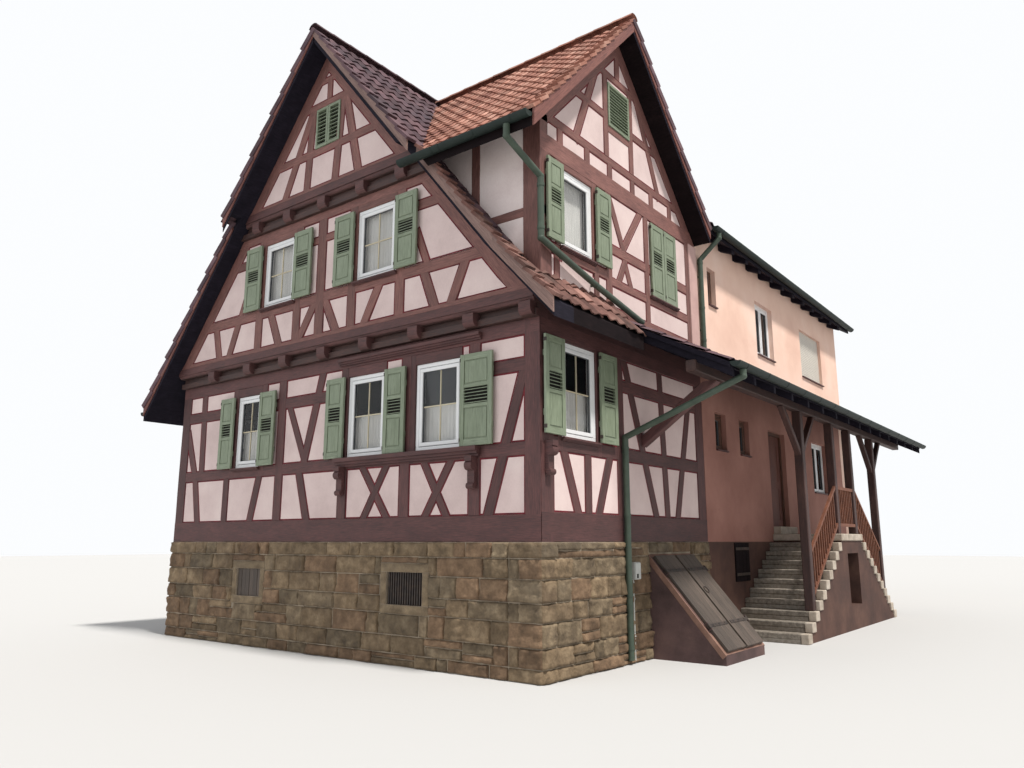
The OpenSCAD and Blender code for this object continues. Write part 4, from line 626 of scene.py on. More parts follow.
def side_timbers():
    p = Piece("timber")
    w = Wall(p, sided(HALF), [(-1, 0, -0.012)])
    block, top, rail, high = 4850, 2850, 1150, 2170
    w.rails((0, block, 0, 370), (0, block, rail, 180), (0, block, top - 200, 200),
            (0, block, 2840, 360, 0.001))
    w.posts((145, 0, 3200, 290, 0.001), (block - 140, 0, 3200, 280, 0.001))
    w.bar(900, 250, 510, rail + 60)
    w.post(1110, 370, rail, 150)
    w.bar(1325, 250, 1710, rail + 60)
    w.posts((2000, 0, 3200, 190), (440, rail, top, 120), (1410, rail, top, 120))
    w.rail(500, 1350, 2620, 100)
    w.bars((3090, 250, 2120, top - 100), (3430, 250, 3280, top - 100), (3740, 250, 4330, 2330))
    w.rail(2000, block, high)
    p.make("side_timbers", slot="timber", replaces=["side_frame"])

    p = Piece("timber_red", "pilaster")
    w = Wall(p, sided(HALF), under_roof(CROSS, CROSS_RIDGE, CROSS_Y) + [(-1, 0, -0.04)])
    z, beam_z, low = 3200, 5200, 4.95
    top = CROSS_RIDGE - upright(ROOF_T, CROSS) - 0.105 / math.cos(CROSS)
    for side in (-1, 1):
        run = (top - low) / math.tan(CROSS)
        a = ((CROSS_Y + side * run) * 1000, low * 1000)
        b = ((CROSS_Y - side * 0.1) * 1000, (top + 0.1 * math.tan(CROSS)) * 1000)
        w.beam(a, b, 210, 0.001, [(-side, 0, -side * CROSS_Y), (1, 0, BLOCK), (-1, 0, -0.04)])
    w.rails((0, block, 3200, 220), (0, 1770, 3800, 150), (1770, block, 3750, 120), (1770, block, 4260, 140))
    w.posts((140, z, beam_z, 280, 0.001), (4500, z, beam_z, 120))
    # Pale pilaster where the annexe begins
    soft_box(p, (4.562, -0.15, 3.2), (4.868, 0.018, 5.24), 0.006, "pilaster", 0.5, 2, sided(HALF))
    w.posts((470, 3950, beam_z, 120), (1410, 3950, beam_z, 120), (420, z, 3900, 110), (1440, z, 3900, 110),
            (1800, z, beam_z, 150), (3000, z, beam_z, 130))
    w.bars((2080, 3850, 2340, 4320, 110), (2460, 3850, 2230, 4330, 110, 0.008), (2290, 4330, 1810, 5220, 120),
           (2170, 4330, 2830, 5220, 120, 0.008))
    w.rails((530, 1350, 5120, 100), (0, block, beam_z, 280, 0.0))
    for y in (530, 1240, 1890, 2600, 3230, 3900):
        w.post(y, beam_z + 180, 5690, 120)
    w.rail(0, block, 5690, 120)
    w.posts((1810, 5810, 7200, 120), (2590, 5810, 7200, 120))
    w.rails((0, 1870, 6440, 110), (2530, block, 6440, 110), (1870, 2530, 6250, 110), (0, block, 7180, 110))
    w.post(2200, 7290, 8300, 130)
    w.bars((920, 5700, 1600, 7280, 130), (3520, 5700, 2780, 7280, 130))
    p.make("cross_gable_timbers", slot="timber", replaces=["cross_gable_frame"])
    # Cheek wall beside the cross gable, over the main roof
    cheek_y = 0.03
    p = Piece("timber_red", "plaster_painted_light")
    top = cross_top(cheek_y) - upright(ROOF_T, CROSS) - 0.002
    inner = (RIDGE - upright(ROOF_T, MAIN) - top) / math.tan(MAIN) - 0.12
    w = Wall(p, fronted(cheek_y), [(0, 1, top), (1, 0, HALF - 0.001)])
    w.posts((MH - 145, z, 6500, 290, 0.0), (MH - 1135, z, 6500, 150), (inner * 1000 + 60, z, 6500, 120))
    w.rails((inner * 1000, MH, 4290, 130), (inner * 1000, MH, top * 1000 - 120, 120),
            (inner * 1000, MH, z, 200))
    # Plaster panel in the lightened plaster: painted light
    soft_box(p, (inner, -0.165, 3.2), (HALF - 0.1, -PLASTER_BACK, top), 0.001, "plaster_painted_light", 0.5, 0,
             fronted(cheek_y))
    p.make("cheek_timbers", slot="timber", replaces=["cross_cheek"])


def left_timbers():
    """Hidden left side of the timbered block."""
    p = Piece("timber")
    w = Wall(p, lefted(HALF), [(0, 1, main_top(HALF) - upright(ROOF_T, MAIN) - 0.002), (-1, 0, -0.012)])
    block = 4850
    w.rails((0, block, 0, 340), (0, block, 1080), (0, block, 2650, 600))
    for y in (145, block / 2, block - 120):
        w.post(y, 0, 3600, 240)
    for y in (1500, 3400):
        for s in (-1, 1):
            w.post(y + s * 485, 0, 2850, 120)
        w.rail(y - 425, y + 425, 2500, 150)
    p.make("left_timbers", slot="timber", replaces=["left_frame"])


front_timbers()
side_timbers()
left_timbers()


def panel_rims(node, axis, sign, name):
    """Dark red lines painted round the plaster panels, along the timbers' edges."""
    width, lift = 0.021, 0.0012
    bm = bmesh.new()
    bm.from_mesh(nodes[node].data)
    bmesh.ops.remove_doubles(bm, verts=bm.verts[:], dist=1e-5)
    bm.normal_update()
    away = [f for f in bm.faces if f.normal[axis] * sign < 0.99]
    bmesh.ops.delete(bm, geom=away, context="FACES")
    bmesh.ops.dissolve_limit(bm, angle_limit=0.01, verts=bm.verts[:], edges=bm.edges[:])
    r = bmesh.ops.inset_region(bm, faces=bm.faces[:], thickness=width, use_boundary=True,
                               use_even_offset=True)
    ring = set(r["faces"])
    bmesh.ops.delete(bm, geom=[f for f in bm.faces if f not in ring], context="FACES")
    for v in bm.verts:
        v.co[axis] += sign * lift
    mesh = bpy.data.meshes.new(name)
    bm.to_mesh(mesh)
    bm.free()
    mesh.materials.append(M["rim"])
    point_data(mesh, "tone", "FLOAT", [0.5] * len(mesh.vertices))
    obj = in_scene(name, mesh)
    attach(obj, "house")


panel_rims("front_plaster", 1, -1, "front_panel_rims")
panel_rims("side_plaster", 0, 1, "side_panel_rims")


# Plinth stones
def stone(piece, place, u0, u1, z0, z1, proud, seedling, grid=0.03):
    """A rock faced block: a grid pushed out and broken up, with its edges falling back to the joint."""
    local = random.Random(seedling)
    lip = 0.012
    us = [u0, *np.linspace(u0 + lip, u1 - lip, max(2, int((u1 - u0) / grid)) + 1), u1]
    zs = [z0, *np.linspace(z0 + lip, z1 - lip, max(2, int((z1 - z0) / grid)) + 1), z1]
    tilt_u, tilt_z = local.uniform(-0.022, 0.022), local.uniform(-0.024, 0.012)
    tops = [local.uniform(0.35, 1.0) for _ in range(4)]
    verts, faces = [], []
    for z in zs:
        for u in us:
            s, t = (u - u0) / (u1 - u0), (z - z0) / (z1 - z0)
            edge = min(u - u0, u1 - u, z - z0, z1 - z)
            corner = (tops[0] * (1 - s) * (1 - t) + tops[1] * s * (1 - t) + tops[2] * (1 - s) * t
                      + tops[3] * s * t)
            q = Vector((u * 5, z * 7, seedling * 1.7))
            rough = 0.016 * noise.noise(q) + 0.012 * noise.noise(q * 2.7) + 0.006 * noise.noise(q * 7)
            facet = 0.028 * (0.42 - noise.voronoi(q * 1.7)[0][0])
            out = max(0.006, 0.014 + proud * corner + rough + facet + tilt_u * (s - 0.5) + tilt_z * (t - 0.5))
            ju = 0.005 * noise.noise(Vector((u * 9, z * 9, seedling)))
            jz = 0.005 * noise.noise(Vector((u * 9, z * 9, seedling + 0.5)))
            verts.append(place((u + ju, out * min(1, edge / lip), z + jz)))
    nu = len(us)
    for j in range(len(zs) - 1):
        for i in range(nu - 1):
            q = j * nu + i
            faces.append((q, q + 1, q + nu + 1, q + nu))
    kind = local.choice(("stone", "stone", "stone_red", "stone_grey"))
    piece.add(verts, faces, kind, local.random())


def courses(u0, u1, z_top, z_low, seed, widths, heights):
    """Blocks of irregular coursed masonry as (u0, u1, z0, z1)."""
    r = random.Random(seed)
    out = []
    z = z_top
    k = 0
    while z > z_low + 0.08:
        h = heights[k % len(heights)]
        low = max(z_low, z - h)
        if low - z_low < 0.1:
            low = z_low
        u = u0
        while u < u1 - 0.01:
            w = r.uniform(*widths)
            if r.random() < 0.16:
                w *= 0.5
            end = u + w
            if u1 - end < widths[0] * 0.6:
                end = u1
            if r.random() < 0.14 and end - u > 0.35:
                # Two low stones on top of each other
                mid = low + (z - low) * r.uniform(0.4, 0.6)
                out.append((u, end, low, mid))
                out.append((u, end, mid, z))
            else:
                out.append((u, end, low, z))
            u = end
        z = low
        k += 1
    return out


def clear_of(blocks, holes, rim):
    """The blocks cut back from the holes and their dressed frames."""
    out = []
    for u0, u1, z0, z1 in blocks:
        parts = [(u0, u1, z0, z1)]
        for hu0, hu1, hz0, hz1 in holes:
            hu0, hu1, hz0, hz1 = hu0 - rim, hu1 + rim, hz0 - rim, hz1 + rim
            nxt = []
            for a, b, c, d in parts:
                if b <= hu0 or a >= hu1 or d <= hz0 or c >= hz1:
                    nxt.append((a, b, c, d))
                    continue
                if a < hu0:
                    nxt.append((a, hu0, c, d))
                if b > hu1:
                    nxt.append((hu1, b, c, d))
                a2, b2 = max(a, hu0), min(b, hu1)
                if c < hz0:
                    nxt.append((a2, b2, c, hz0))
                if d > hz1:
                    nxt.append((a2, b2, hz1, d))
            parts = nxt
        out.extend(p for p in parts if p[1] - p[0] > 0.06 and p[3] - p[2] > 0.05)
    return out


LIGHTS = [(-2.075, -1.435, -0.87, -0.43), (1.515, 2.205, -0.85, -0.41)]
HATCH_HOLE = (2.72, 4.13, -PLINTH, -0.16)
COURSES = [0.2, 0.25, 0.28, 0.23, 0.29, 0.24, 0.3]
JOINT = 0.006
RIM = 0.12
CORNER = 0.5


def laid(block):
    """A block's sides less half a joint."""
    a, b, c, d = block
    return a + JOINT, b - JOINT, c + JOINT, d - JOINT


def quoins():
    """Top and foot of each course, and how far its corner stone runs on the street side and the long side."""
    out = []
    z = 0.0
    for k, h in enumerate(COURSES):
        low = max(-PLINTH, z - h)
        out.append((z, low, *((0.34, 0.66) if k % 2 else (CORNER, 0.3))))
        z = low
    return out


def plinth_stones():
    p = Piece("stone", "stone_red", "stone_grey", "dressed")
    blocks = courses(-HALF, HALF - CORNER, 0, -PLINTH, 23, (0.3, 0.85), COURSES)
    for k, block in enumerate(clear_of(blocks, LIGHTS, RIM)):
        stone(p, fronted(0), *laid(block), rng.uniform(0.016, 0.045), 100 + k)
    # Dressed frames of the cellar lights
    for a, b, c, d in LIGHTS:
        half = JOINT / 2
        for u0, u1, z0, z1 in ((a - RIM, b + RIM, d, d + RIM), (a - RIM, b + RIM, c - RIM, c),
                               (a - RIM, a, c, d), (b, b + RIM, c, d)):
            soft_box(p, (u0 + half, -0.02, z0 + half), (u1 - half, 0.022, z1 - half), 0.006, "dressed",
                     None, 0, fronted(0))
    # Corner stones, long and short in turn
    proud, past = 0.034, 0.012
    for k, (z, low, fw, sw) in enumerate(quoins()):
        if fw < CORNER:
            stone(p, fronted(0), *laid((HALF - CORNER, HALF - fw, low, z)), 0.02, 700 + k)
        stone(p, fronted(0), HALF - fw + JOINT, HALF + past, low + JOINT, z - JOINT, proud, 500 + k)
        stone(p, sided(HALF), -past, sw - JOINT, low + JOINT, z - JOINT, proud, 600 + k)
    p.make("front_stones", slot="sandstone", smooth=True)

    p = Piece("stone", "stone_red", "stone_grey")
    blocks = []
    for k, (z, low, _, sw) in enumerate(quoins()):
        blocks += courses(sw, BLOCK, z, low, 40 + k, (0.35, 0.85), [COURSES[k] + 0.1])
    for k, block in enumerate(clear_of(blocks, [HATCH_HOLE], 0.0)):
        stone(p, sided(HALF), *laid(block), rng.uniform(0.014, 0.04), 1200 + k)
    p.make("side_stones", slot="sandstone", smooth=True)

    p = Piece("stone", "stone_red", "stone_grey")
    for k, block in enumerate(courses(0.0, DEPTH, 0, -PLINTH, 77, (0.35, 0.75), COURSES)):
        stone(p, lefted(HALF), *laid(block), rng.uniform(0.012, 0.035), 2000 + k, 0.05)
    p.make("left_stones", slot="sandstone", smooth=True)


plinth_stones()


# Roofs
TILE_SINK = 0.055
LAP = 0.03


def tile_shape(w, length, roll):
    """One tile as (across, up, out) points with its front edge; the roll stands on one side."""
    n = 8
    verts, faces = [], []
    for i in range(n + 1):
        s = i / n
        h = roll * (0.5 - 0.5 * math.cos(2 * math.pi * s)) ** 1.4
        u = (s - 0.5) * w * 1.02
        verts += [(u, -0.05, h + 0.004), (u, -0.052, h + 0.022), (u, length * 0.5, h + 0.016),
                  (u, length, h * 0.9 + 0.006)]
    for i in range(n):
        for q in range(i * 4, i * 4 + 3):
            faces.append((q, q + 4, q + 5, q + 1))
    return np.array(verts), faces


def tile_field(piece, origin, up, u0, u1, v1, seed, keep=lambda u, v: True, across=(0, 1, 0), w=0.23,
               length=0.33, roll=0.032, ragged=0.0):
    """Rows of tiles from the eave (v 0) up the slope; keep(u, v) says where the roof is."""
    r = random.Random(seed)
    origin, across, up = np.array(origin, float), np.array(across, float), np.array(up, float)
    out = np.cross(across, up)
    if out[2] < 0:
        out = -out
    rows = max(1, round((v1 - 0.03) / length))
    length = (v1 - 0.03) / rows
    cols = max(1, round((u1 - u0) / w))
    w = (u1 - u0) / cols
    shape, faces = tile_shape(w, length, roll)
    for j in range(rows):
        v = j * length + 0.03
        for i in range(cols):
            u = u0 + (i + 0.5) * w
            if not keep(u, v + length * 0.4):
                continue
            a = r.gauss(0, 0.006) + (r.gauss(0, ragged) if ragged else 0)
            du, dv = r.gauss(0, 0.002), r.gauss(0, 0.004 + ragged * 0.3)
            lift = abs(r.gauss(0, 0.0015 + ragged * 0.06))
            x = shape[:, 0] * math.cos(a) - shape[:, 1] * math.sin(a) + u + du
            y = shape[:, 0] * math.sin(a) + shape[:, 1] * math.cos(a) + v + dv
            # The top end tucks under the next row
            z = shape[:, 2] + lift + 0.012 * (1 - np.clip(shape[:, 1] / length, 0, 1))
            pts = origin + np.outer(x, across) + np.outer(y, up) + np.outer(z - TILE_SINK, out)
            piece.add(pts.tolist(), faces, None, min(1, max(0, r.gauss(0.5, 0.2))))


def ridge_tiles(piece, a, b, radius=0.105, step=0.36):
    """Half round tiles along a level ridge from a to b."""
    sink, m = 0.05, 10
    a, b = np.array(a, float), np.array(b, float)
    length = float(np.linalg.norm(b - a))
    e = (b - a) / length
    side = np.cross(e, (0, 0, 1))
    n = int(round(length / step))
    arc = [math.pi * (0.04 + 0.92 * i / m) for i in range(m + 1)]

    def ring(s, rad):
        return [tuple(a + e * s + side * rad * math.cos(t) + np.array((0, 0, rad * 0.8 * math.sin(t) - sink)))
                for t in arc]

    for k in range(n):
        s0, s1 = k * length / n, min((k + 1.12) * length / n, length)
        verts = ring(s0, radius * 1.06) + ring((s0 + s1) / 2, radius) + ring(s1, radius)
        start = len(verts)
        verts += ring(s0 + 0.001, radius * 0.9)
        faces = []
        for j in (0, m + 1):
            faces += [(j + i, j + i + 1, j + i + m + 2, j + i + m + 1) for i in range(m)]
        faces += [(i, i + 1, start + i + 1, start + i) for i in range(m)]
        piece.add(verts, faces, None, rng.random())


def slab(piece, section, axis, lo, hi, cuts=()):
    """A closed extrusion of a flat outline along x (axis 0) or y (axis 1), cut by (point, normal) planes."""
    n = len(section)
    verts = [(t, a, z) if axis == 0 else (a, t, z) for t in (lo, hi) for a, z in section]
    faces = [tuple(range(n)), tuple(range(2 * n - 1, n - 1, -1))]
    faces += [(i, i + n, (i + 1) % n + n, (i + 1) % n) for i in range(n)]
    bm = solid(verts, faces)
    for co, no in cuts:
        edges = [g for g in cut_away(bm, co, no) if isinstance(g, bmesh.types.BMEdge)]
        if edges:
            bmesh.ops.holes_fill(bm, edges=edges)
    piece.add(*emptied(bm), None, 0.5)
def band(line, top, low):
    """Outline between two depths below a line of (across, z) points."""
    return [(a, z - top) for a, z in line] + [(a, z - low) for a, z in reversed(line)]


def rise(pitch, side=1):
    """Direction up a slope that climbs towards +x (side 1) or -x (side -1)."""
    return (side * math.cos(pitch), 0, math.sin(pitch))


def main_section(side):
    """Section of one half of the main roof, its top lowered to carry the tiles."""
    tv, top = upright(ROOF_T, MAIN), upright(TILE_SINK, MAIN)
    if side < 0:
        return band([(-LEFT_TIP, main_top(LEFT_TIP)), (0, RIDGE)], top, tv)
    kv = upright(ROOF_T, KICK)
    under = KICK_X - (tv - kv) / (math.tan(MAIN) - math.tan(KICK))
    eave = kick_top(RIGHT_TIP)
    return [(0, RIDGE - top), (KICK_X, main_top(KICK_X) - top), (RIGHT_TIP, eave - upright(TILE_SINK, KICK)),
            (RIGHT_TIP, eave - kv), (under, main_top(under) - tv), (0, RIDGE - tv)]


def main_roof():
    above_step = [((0, 0, STEP_Z), (0, 0, -1))]
    # The deck's near-black boards are painted shade under the roof
    p = Piece("soffit")
    slab(p, main_section(-1), 1, -VERGE_LOW, BLOCK + 0.3)
    slab(p, main_section(-1), 1, -VERGE_HIGH, -VERGE_LOW, above_step)
    p.make("main_roof_left_deck", slot="roof_tiles", replaces=["main_roof_left"])
    p = Piece("tile")
    step_v = (STEP_Z - main_top(LEFT_TIP)) / math.sin(MAIN)
    past_wall = (LEFT_TIP - HALF) / math.cos(MAIN)
    tile_field(p, (-LEFT_TIP, 0, main_top(LEFT_TIP)), rise(MAIN), -VERGE_HIGH - LAP, BLOCK + 0.32,
               LEFT_TIP / math.cos(MAIN) - 0.05, 1,
               lambda u, v: (u > -VERGE_LOW - LAP or v > step_v - 0.1) and (u < BLOCK or v < past_wall))
    ridge_tiles(p, (0, -VERGE_HIGH - LAP, RIDGE), (0, BLOCK + 0.1, RIDGE))
    p.make("main_roof_left_tiles", slot="roof_tiles")

    # Right half, cut open under the cross roof
    # The deck's near-black boards are painted shade under the roof
    p = Piece("soffit")
    slab(p, main_section(1), 1, -VERGE_LOW, 0.03)
    slab(p, main_section(1), 1, -VERGE_HIGH, -VERGE_LOW, above_step)
    p.make("main_roof_right_deck", slot="roof_tiles", replaces=["main_roof_right", "side_pent"])
    # The pent's deck in near-black painted shade
    p = Piece("under")
    slab(p, main_section(1), 1, 0.03, PORCH_Y, [((HALF, 0, 0), (-1, 0, 0))])
    p.make("side_pent_deck", slot="roof_tiles")

    def keep_main(u, v):
        x = KICK_X - v * math.cos(MAIN)
        if u < -VERGE_LOW - LAP and main_top(x) < STEP_Z:
            return False
        return u < 0.1 or cross_top(u) < main_top(x) + 0.12

    p = Piece("tile")
    tile_field(p, (KICK_X, 0, main_top(KICK_X)), rise(MAIN, -1), -VERGE_HIGH - LAP, BLOCK + 0.02,
               KICK_X / math.cos(MAIN) - 0.05, 2, keep_main)
    p.make("main_roof_right_tiles", slot="roof_tiles")
    p = Piece("tile_brown")
    tile_field(p, (RIGHT_TIP, 0, kick_top(RIGHT_TIP)), rise(KICK, -1), -VERGE_LOW - LAP, PORCH_Y + 0.02,
               (RIGHT_TIP - KICK_X) / math.cos(KICK), 3,
               lambda u, v: RIGHT_TIP - v * math.cos(KICK) > HALF - 0.1 or u < 0.1, ragged=0.06)
    p.make("pent_tiles", slot="roof_tiles")


def cross_roof():
    tv, top = upright(ROOF_T, CROSS), upright(TILE_SINK, CROSS)
    valley = (0, 0, RIDGE - upright(TILE_SINK, MAIN))
    above = Vector((math.tan(MAIN), 0, 1))
    # The cross roof's deck in near-black painted shade
    p = Piece("under")
    for lo, hi in ((-CROSS_EAVE, CROSS_Y), (CROSS_Y, BLOCK)):
        section = band([(lo, cross_top(lo)), (hi, cross_top(hi))], top, tv)
        slab(p, section, 0, 0.0, CROSS_TIP, [(valley, -above)])
    p.make("cross_roof_deck", slot="roof_tiles_warm", replaces=["cross_roof"])
    p = Piece("tile_warm")
    for eave, side, seed in ((-CROSS_EAVE, 1, 5), (BLOCK, -1, 6)):
        foot = cross_top(eave)
        tile_field(p, (0, eave, foot), (0, side * math.cos(CROSS), math.sin(CROSS)), 0.0, CROSS_TIP + 0.04,
                   side * (CROSS_Y - eave) / math.cos(CROSS) - 0.05, seed,
                   lambda u, v: foot + v * math.sin(CROSS) > main_top(u) - 0.06, (1, 0, 0), 0.19, 0.22, 0.02)
    ridge_tiles(p, (0.25, CROSS_Y, CROSS_RIDGE), (CROSS_TIP + 0.04, CROSS_Y, CROSS_RIDGE), radius=0.11)
    p.make("cross_roof_tiles", slot="roof_tiles_warm")


def annexe_roof():
    tv, top = upright(ROOF_T, ANNEXE), upright(TILE_SINK, ANNEXE)
    eave = annexe_top(ANNEXE_TIP)
    # Deck and rafter feet in near-black painted shade
    p = Piece("soffit")
    slab(p, band([(-ANNEXE_TIP, eave), (0, RIDGE), (ANNEXE_TIP, eave)], top, tv), 1, BLOCK, REAR_END)
    # Rafter feet, thinner towards the gutter
    foot, root = ANNEXE_TIP - 0.03, HALF - 0.02
    for k in range(12):
        y = BLOCK + 0.4 + k * 0.7
        for side in (-1, 1):
            section = [(side * root, annexe_top(root) - tv + 0.01),
                       (side * foot, annexe_top(foot) - tv + 0.01),
                       (side * foot, annexe_top(foot) - tv - 0.09),
                       (side * root, annexe_top(HALF) - tv - 0.13)]
            slab(p, section[::side], 1, y, y + 0.13)
    p.make("annexe_roof_deck", slot="roof_tiles", replaces=["annexe_roof"])
    p = Piece("tile")
    for side in (-1, 1):
        tile_field(p, (side * ANNEXE_TIP, 0, eave), rise(ANNEXE, -side), BLOCK - 0.02, REAR_END + 0.03,
                   ANNEXE_TIP / math.cos(ANNEXE) - 0.05, 7 + side, w=0.28, length=0.36)
    ridge_tiles(p, (0, BLOCK, RIDGE), (0, REAR_END + 0.03, RIDGE), step=0.4)
    p.make("annexe_roof_tiles", slot="roof_tiles")


def porch_roof():
    """Boards on rafters, tiles above."""
    tv, top = upright(PORCH_T, PORCH), upright(TILE_SINK, PORCH)
    line = [(HALF, PORCH_Z), (PORCH_TIP, porch_top(PORCH_TIP))]
    rafters, wide, deep = 16, 0.08, 0.11
    # Deck and rafters in near-black painted shade
    p = Piece("soffit")
    slab(p, band(line, top, tv), 1, PORCH_Y, REAR_END)
    first, last = PORCH_Y + 0.06, REAR_END - 0.06 - wide
    for i in range(rafters):
        y = first + (last - first) * i / (rafters - 1)
        slab(p, band(line, tv, tv + deep), 1, y, y + wide)
    p.make("porch_roof_deck", slot="roof_tiles", replaces=["porch_roof"])
    p = Piece("tile")
    tile_field(p, (PORCH_TIP, 0, porch_top(PORCH_TIP)), rise(PORCH, -1), PORCH_Y - 0.02, REAR_END + 0.02,
               (PORCH_TIP - HALF) / math.cos(PORCH) - 0.1, 12, w=0.24, length=0.34)
    p.make("porch_roof_tiles", slot="roof_tiles")


main_roof()
cross_roof()
annexe_roof()
porch_roof()


def verge_board(piece, a, b, deep, thick, place, material):
    """A board along a verge from a to b, (u, z) of its top edge, deep vertically."""
    (u0, z0), (u1, z1) = a, b
    pts = [(u0, z0), (u1, z1), (u1, z1 - deep), (u0, z0 - deep)]
    verts = [place((u, o, z)) for o in (0, thick) for u, z in pts]
    faces = [(0, 1, 2, 3), (7, 6, 5, 4), (0, 4, 5, 1), (1, 5, 6, 2), (2, 6, 7, 3), (3, 7, 4, 0)]
    length = math.hypot(u1 - u0, z1 - z0)
    s = rng.random() * 10
    g = [(s, 0, 0), (s + length, 0, 0), (s + length, deep, 0), (s, deep, 0)]
    g = g + [(q[0], q[1], thick) for q in g]
    piece.add(verts, faces, material, rng.random() * 0.4 + 0.3, g)


STEP_X = (RIDGE - STEP_Z) / math.tan(MAIN)
TOP = (0, RIDGE)
STEP_LEFT, STEP_RIGHT = (-STEP_X, main_top(STEP_X)), (STEP_X, main_top(STEP_X))
FOOT_LEFT, BEND = (-LEFT_TIP, main_top(LEFT_TIP)), (KICK_X, main_top(KICK_X))
FOOT_RIGHT = (RIGHT_TIP, kick_top(RIGHT_TIP))
CROSS_TOP = (CROSS_Y, CROSS_RIDGE)
CROSS_NEAR, CROSS_FAR = (-CROSS_EAVE, cross_top(-CROSS_EAVE)), (BLOCK, cross_top(BLOCK))
HIGH, LOW = fronted(-VERGE_HIGH), fronted(-VERGE_LOW)


def verge_boards():
    """A reddish strip over a dark board in near-black painted shade, or one broad board."""
    thick, strip = 0.03, 0.18
    p = Piece("verge", "soffit", "verge_red")

    def slope(a, b, place, pitch=MAIN, broad=None, deep=None):
        """The boards of one slope, just below the roof's surface from a to b."""
        top = upright(0.02, pitch)
        deep = deep or upright(ROOF_T, pitch) - top
        a, b = (a[0], a[1] - top), (b[0], b[1] - top)
        if broad:
            verge_board(p, a, b, deep, thick, place, broad)
            return
        verge_board(p, a, b, strip, thick, place, "verge_red")
        low = strip - 0.01
        verge_board(p, (a[0], a[1] - low), (b[0], b[1] - low), deep - low, thick - 0.018, place, "soffit")

    slope(STEP_LEFT, TOP, HIGH)
    slope(FOOT_LEFT, STEP_LEFT, LOW)
    slope(STEP_RIGHT, TOP, HIGH, broad="verge", deep=0.17)
    slope(STEP_RIGHT, BEND, LOW, broad="verge", deep=0.2)
    slope(BEND, FOOT_RIGHT, LOW, broad="verge", deep=0.2)
    slope(CROSS_NEAR, CROSS_TOP, sided(CROSS_TIP), CROSS, "verge_red")
    slope(CROSS_TOP, CROSS_FAR, sided(CROSS_TIP), CROSS)
    p.make("verge_planks", slot="verge_paint", replaces=["verge_boards"])


def verge_tiles():
    p = Piece("tile", "tile_warm", "tile_brown")

    def edge_tiles(a, b, place, material, ragged=0.004, step=0.33, lip=0.045, lift_low=0.022):
        """Edge tiles from the eave a to the ridge b, each lying over the one below, lip deep at the front."""
        length = math.hypot(b[0] - a[0], b[1] - a[1])
        e = Vector((b[0] - a[0], b[1] - a[1])) / length
        n = Vector((-e[1], e[0])) if e[0] > 0 else Vector((e[1], -e[0]))
        rows = max(1, round(length / step))
        step = length / rows
        for k in range(rows):
            s0, s1 = k * step - 0.03, (k + 1) * step
            if k == rows - 1:
                s1 -= 0.02
            low, high = lift_low + abs(rng.gauss(0, ragged)), -0.008 + rng.gauss(0, ragged * 0.4)
            out = 0.046 + rng.uniform(-0.004, 0.004) + rng.gauss(0, ragged)
            verts = []
            for o in (-0.14, out):
                for s, lift in ((s0, low), (s1, high)):
                    for down in (0.0, lip):
                        q = Vector(a) + e * s + n * (lift - down)
                        verts.append(place((q[0], o, q[1])))
            faces = [(0, 2, 3, 1), (4, 5, 7, 6), (0, 1, 5, 4), (2, 6, 7, 3), (0, 4, 6, 2), (1, 3, 7, 5)]
            p.add(verts, faces, material, min(1, max(0, rng.gauss(0.5, 0.22))))

    top, cross = (0, RIDGE - 0.02), (CROSS_Y, CROSS_RIDGE - 0.02)
    stepped = {"step": 0.38, "lip": 0.1, "lift_low": 0.042}
    edge_tiles(STEP_LEFT, top, HIGH, "tile", **stepped)
    edge_tiles(STEP_RIGHT, top, HIGH, "tile")
    edge_tiles(FOOT_LEFT, STEP_LEFT, LOW, "tile", **stepped)
    edge_tiles(BEND, STEP_RIGHT, LOW, "tile_brown", 0.012, 0.24)
    edge_tiles(FOOT_RIGHT, BEND, LOW, "tile_brown", 0.014, 0.2)
    edge_tiles(CROSS_NEAR, cross, sided(CROSS_TIP), "tile_warm", step=0.2)
    edge_tiles(CROSS_FAR, cross, sided(CROSS_TIP), "tile", **stepped)
    p.make("verge_tiles", slot="roof_tiles")


verge_boards()
verge_tiles()


# Windows, shutters and vents
# Windows with open shutters: wall, middle, width, foot, height, widths of the left and the right leaf
SHUTTERED = {
    "low_left": (fronted(0), -2.045, 0.7, 1.25, 1.25, 0.4, 0.43),
    "low_middle": (fronted(0), 0.945, 0.84, 1.25, 1.25, 0.42, 0.43),
    "low_right": (fronted(0), 2.415, 0.88, 1.25, 1.25, 0, 0.56),
    "up_left": (fronted(UPPER_Y), -1.205, 0.86, 3.96, 1.16, 0.45, 0.46),
    "up_right": (fronted(UPPER_Y), 1.205, 0.88, 3.96, 1.16, 0.45, 0.45),
    "side_low": (sided(HALF), 0.925, 0.85, 1.34, 1.28, 0.44, 0.45),
    "side_up": (sided(HALF), 0.94, 0.82, 3.96, 1.16, 0.38, 0.4),
}


def frame_bars(piece, place, m, w, z, h, bar, out0, out1, material):
    """Four bars round an opening, from out0 to out1 of the wall's face."""
    x0, x1, z1 = m - w / 2, m + w / 2, z + h
    for lo, hi in (((x0, z), (x1, z + bar)), ((x0, z1 - bar), (x1, z1)),
                   ((x0, z + bar), (x0 + bar, z1 - bar)), ((x1 - bar, z + bar), (x1, z1 - bar))):
        soft_box(piece, (lo[0], out0, lo[1]), (hi[0], out1, hi[1]), 0.004, material, 0.5, place=place)


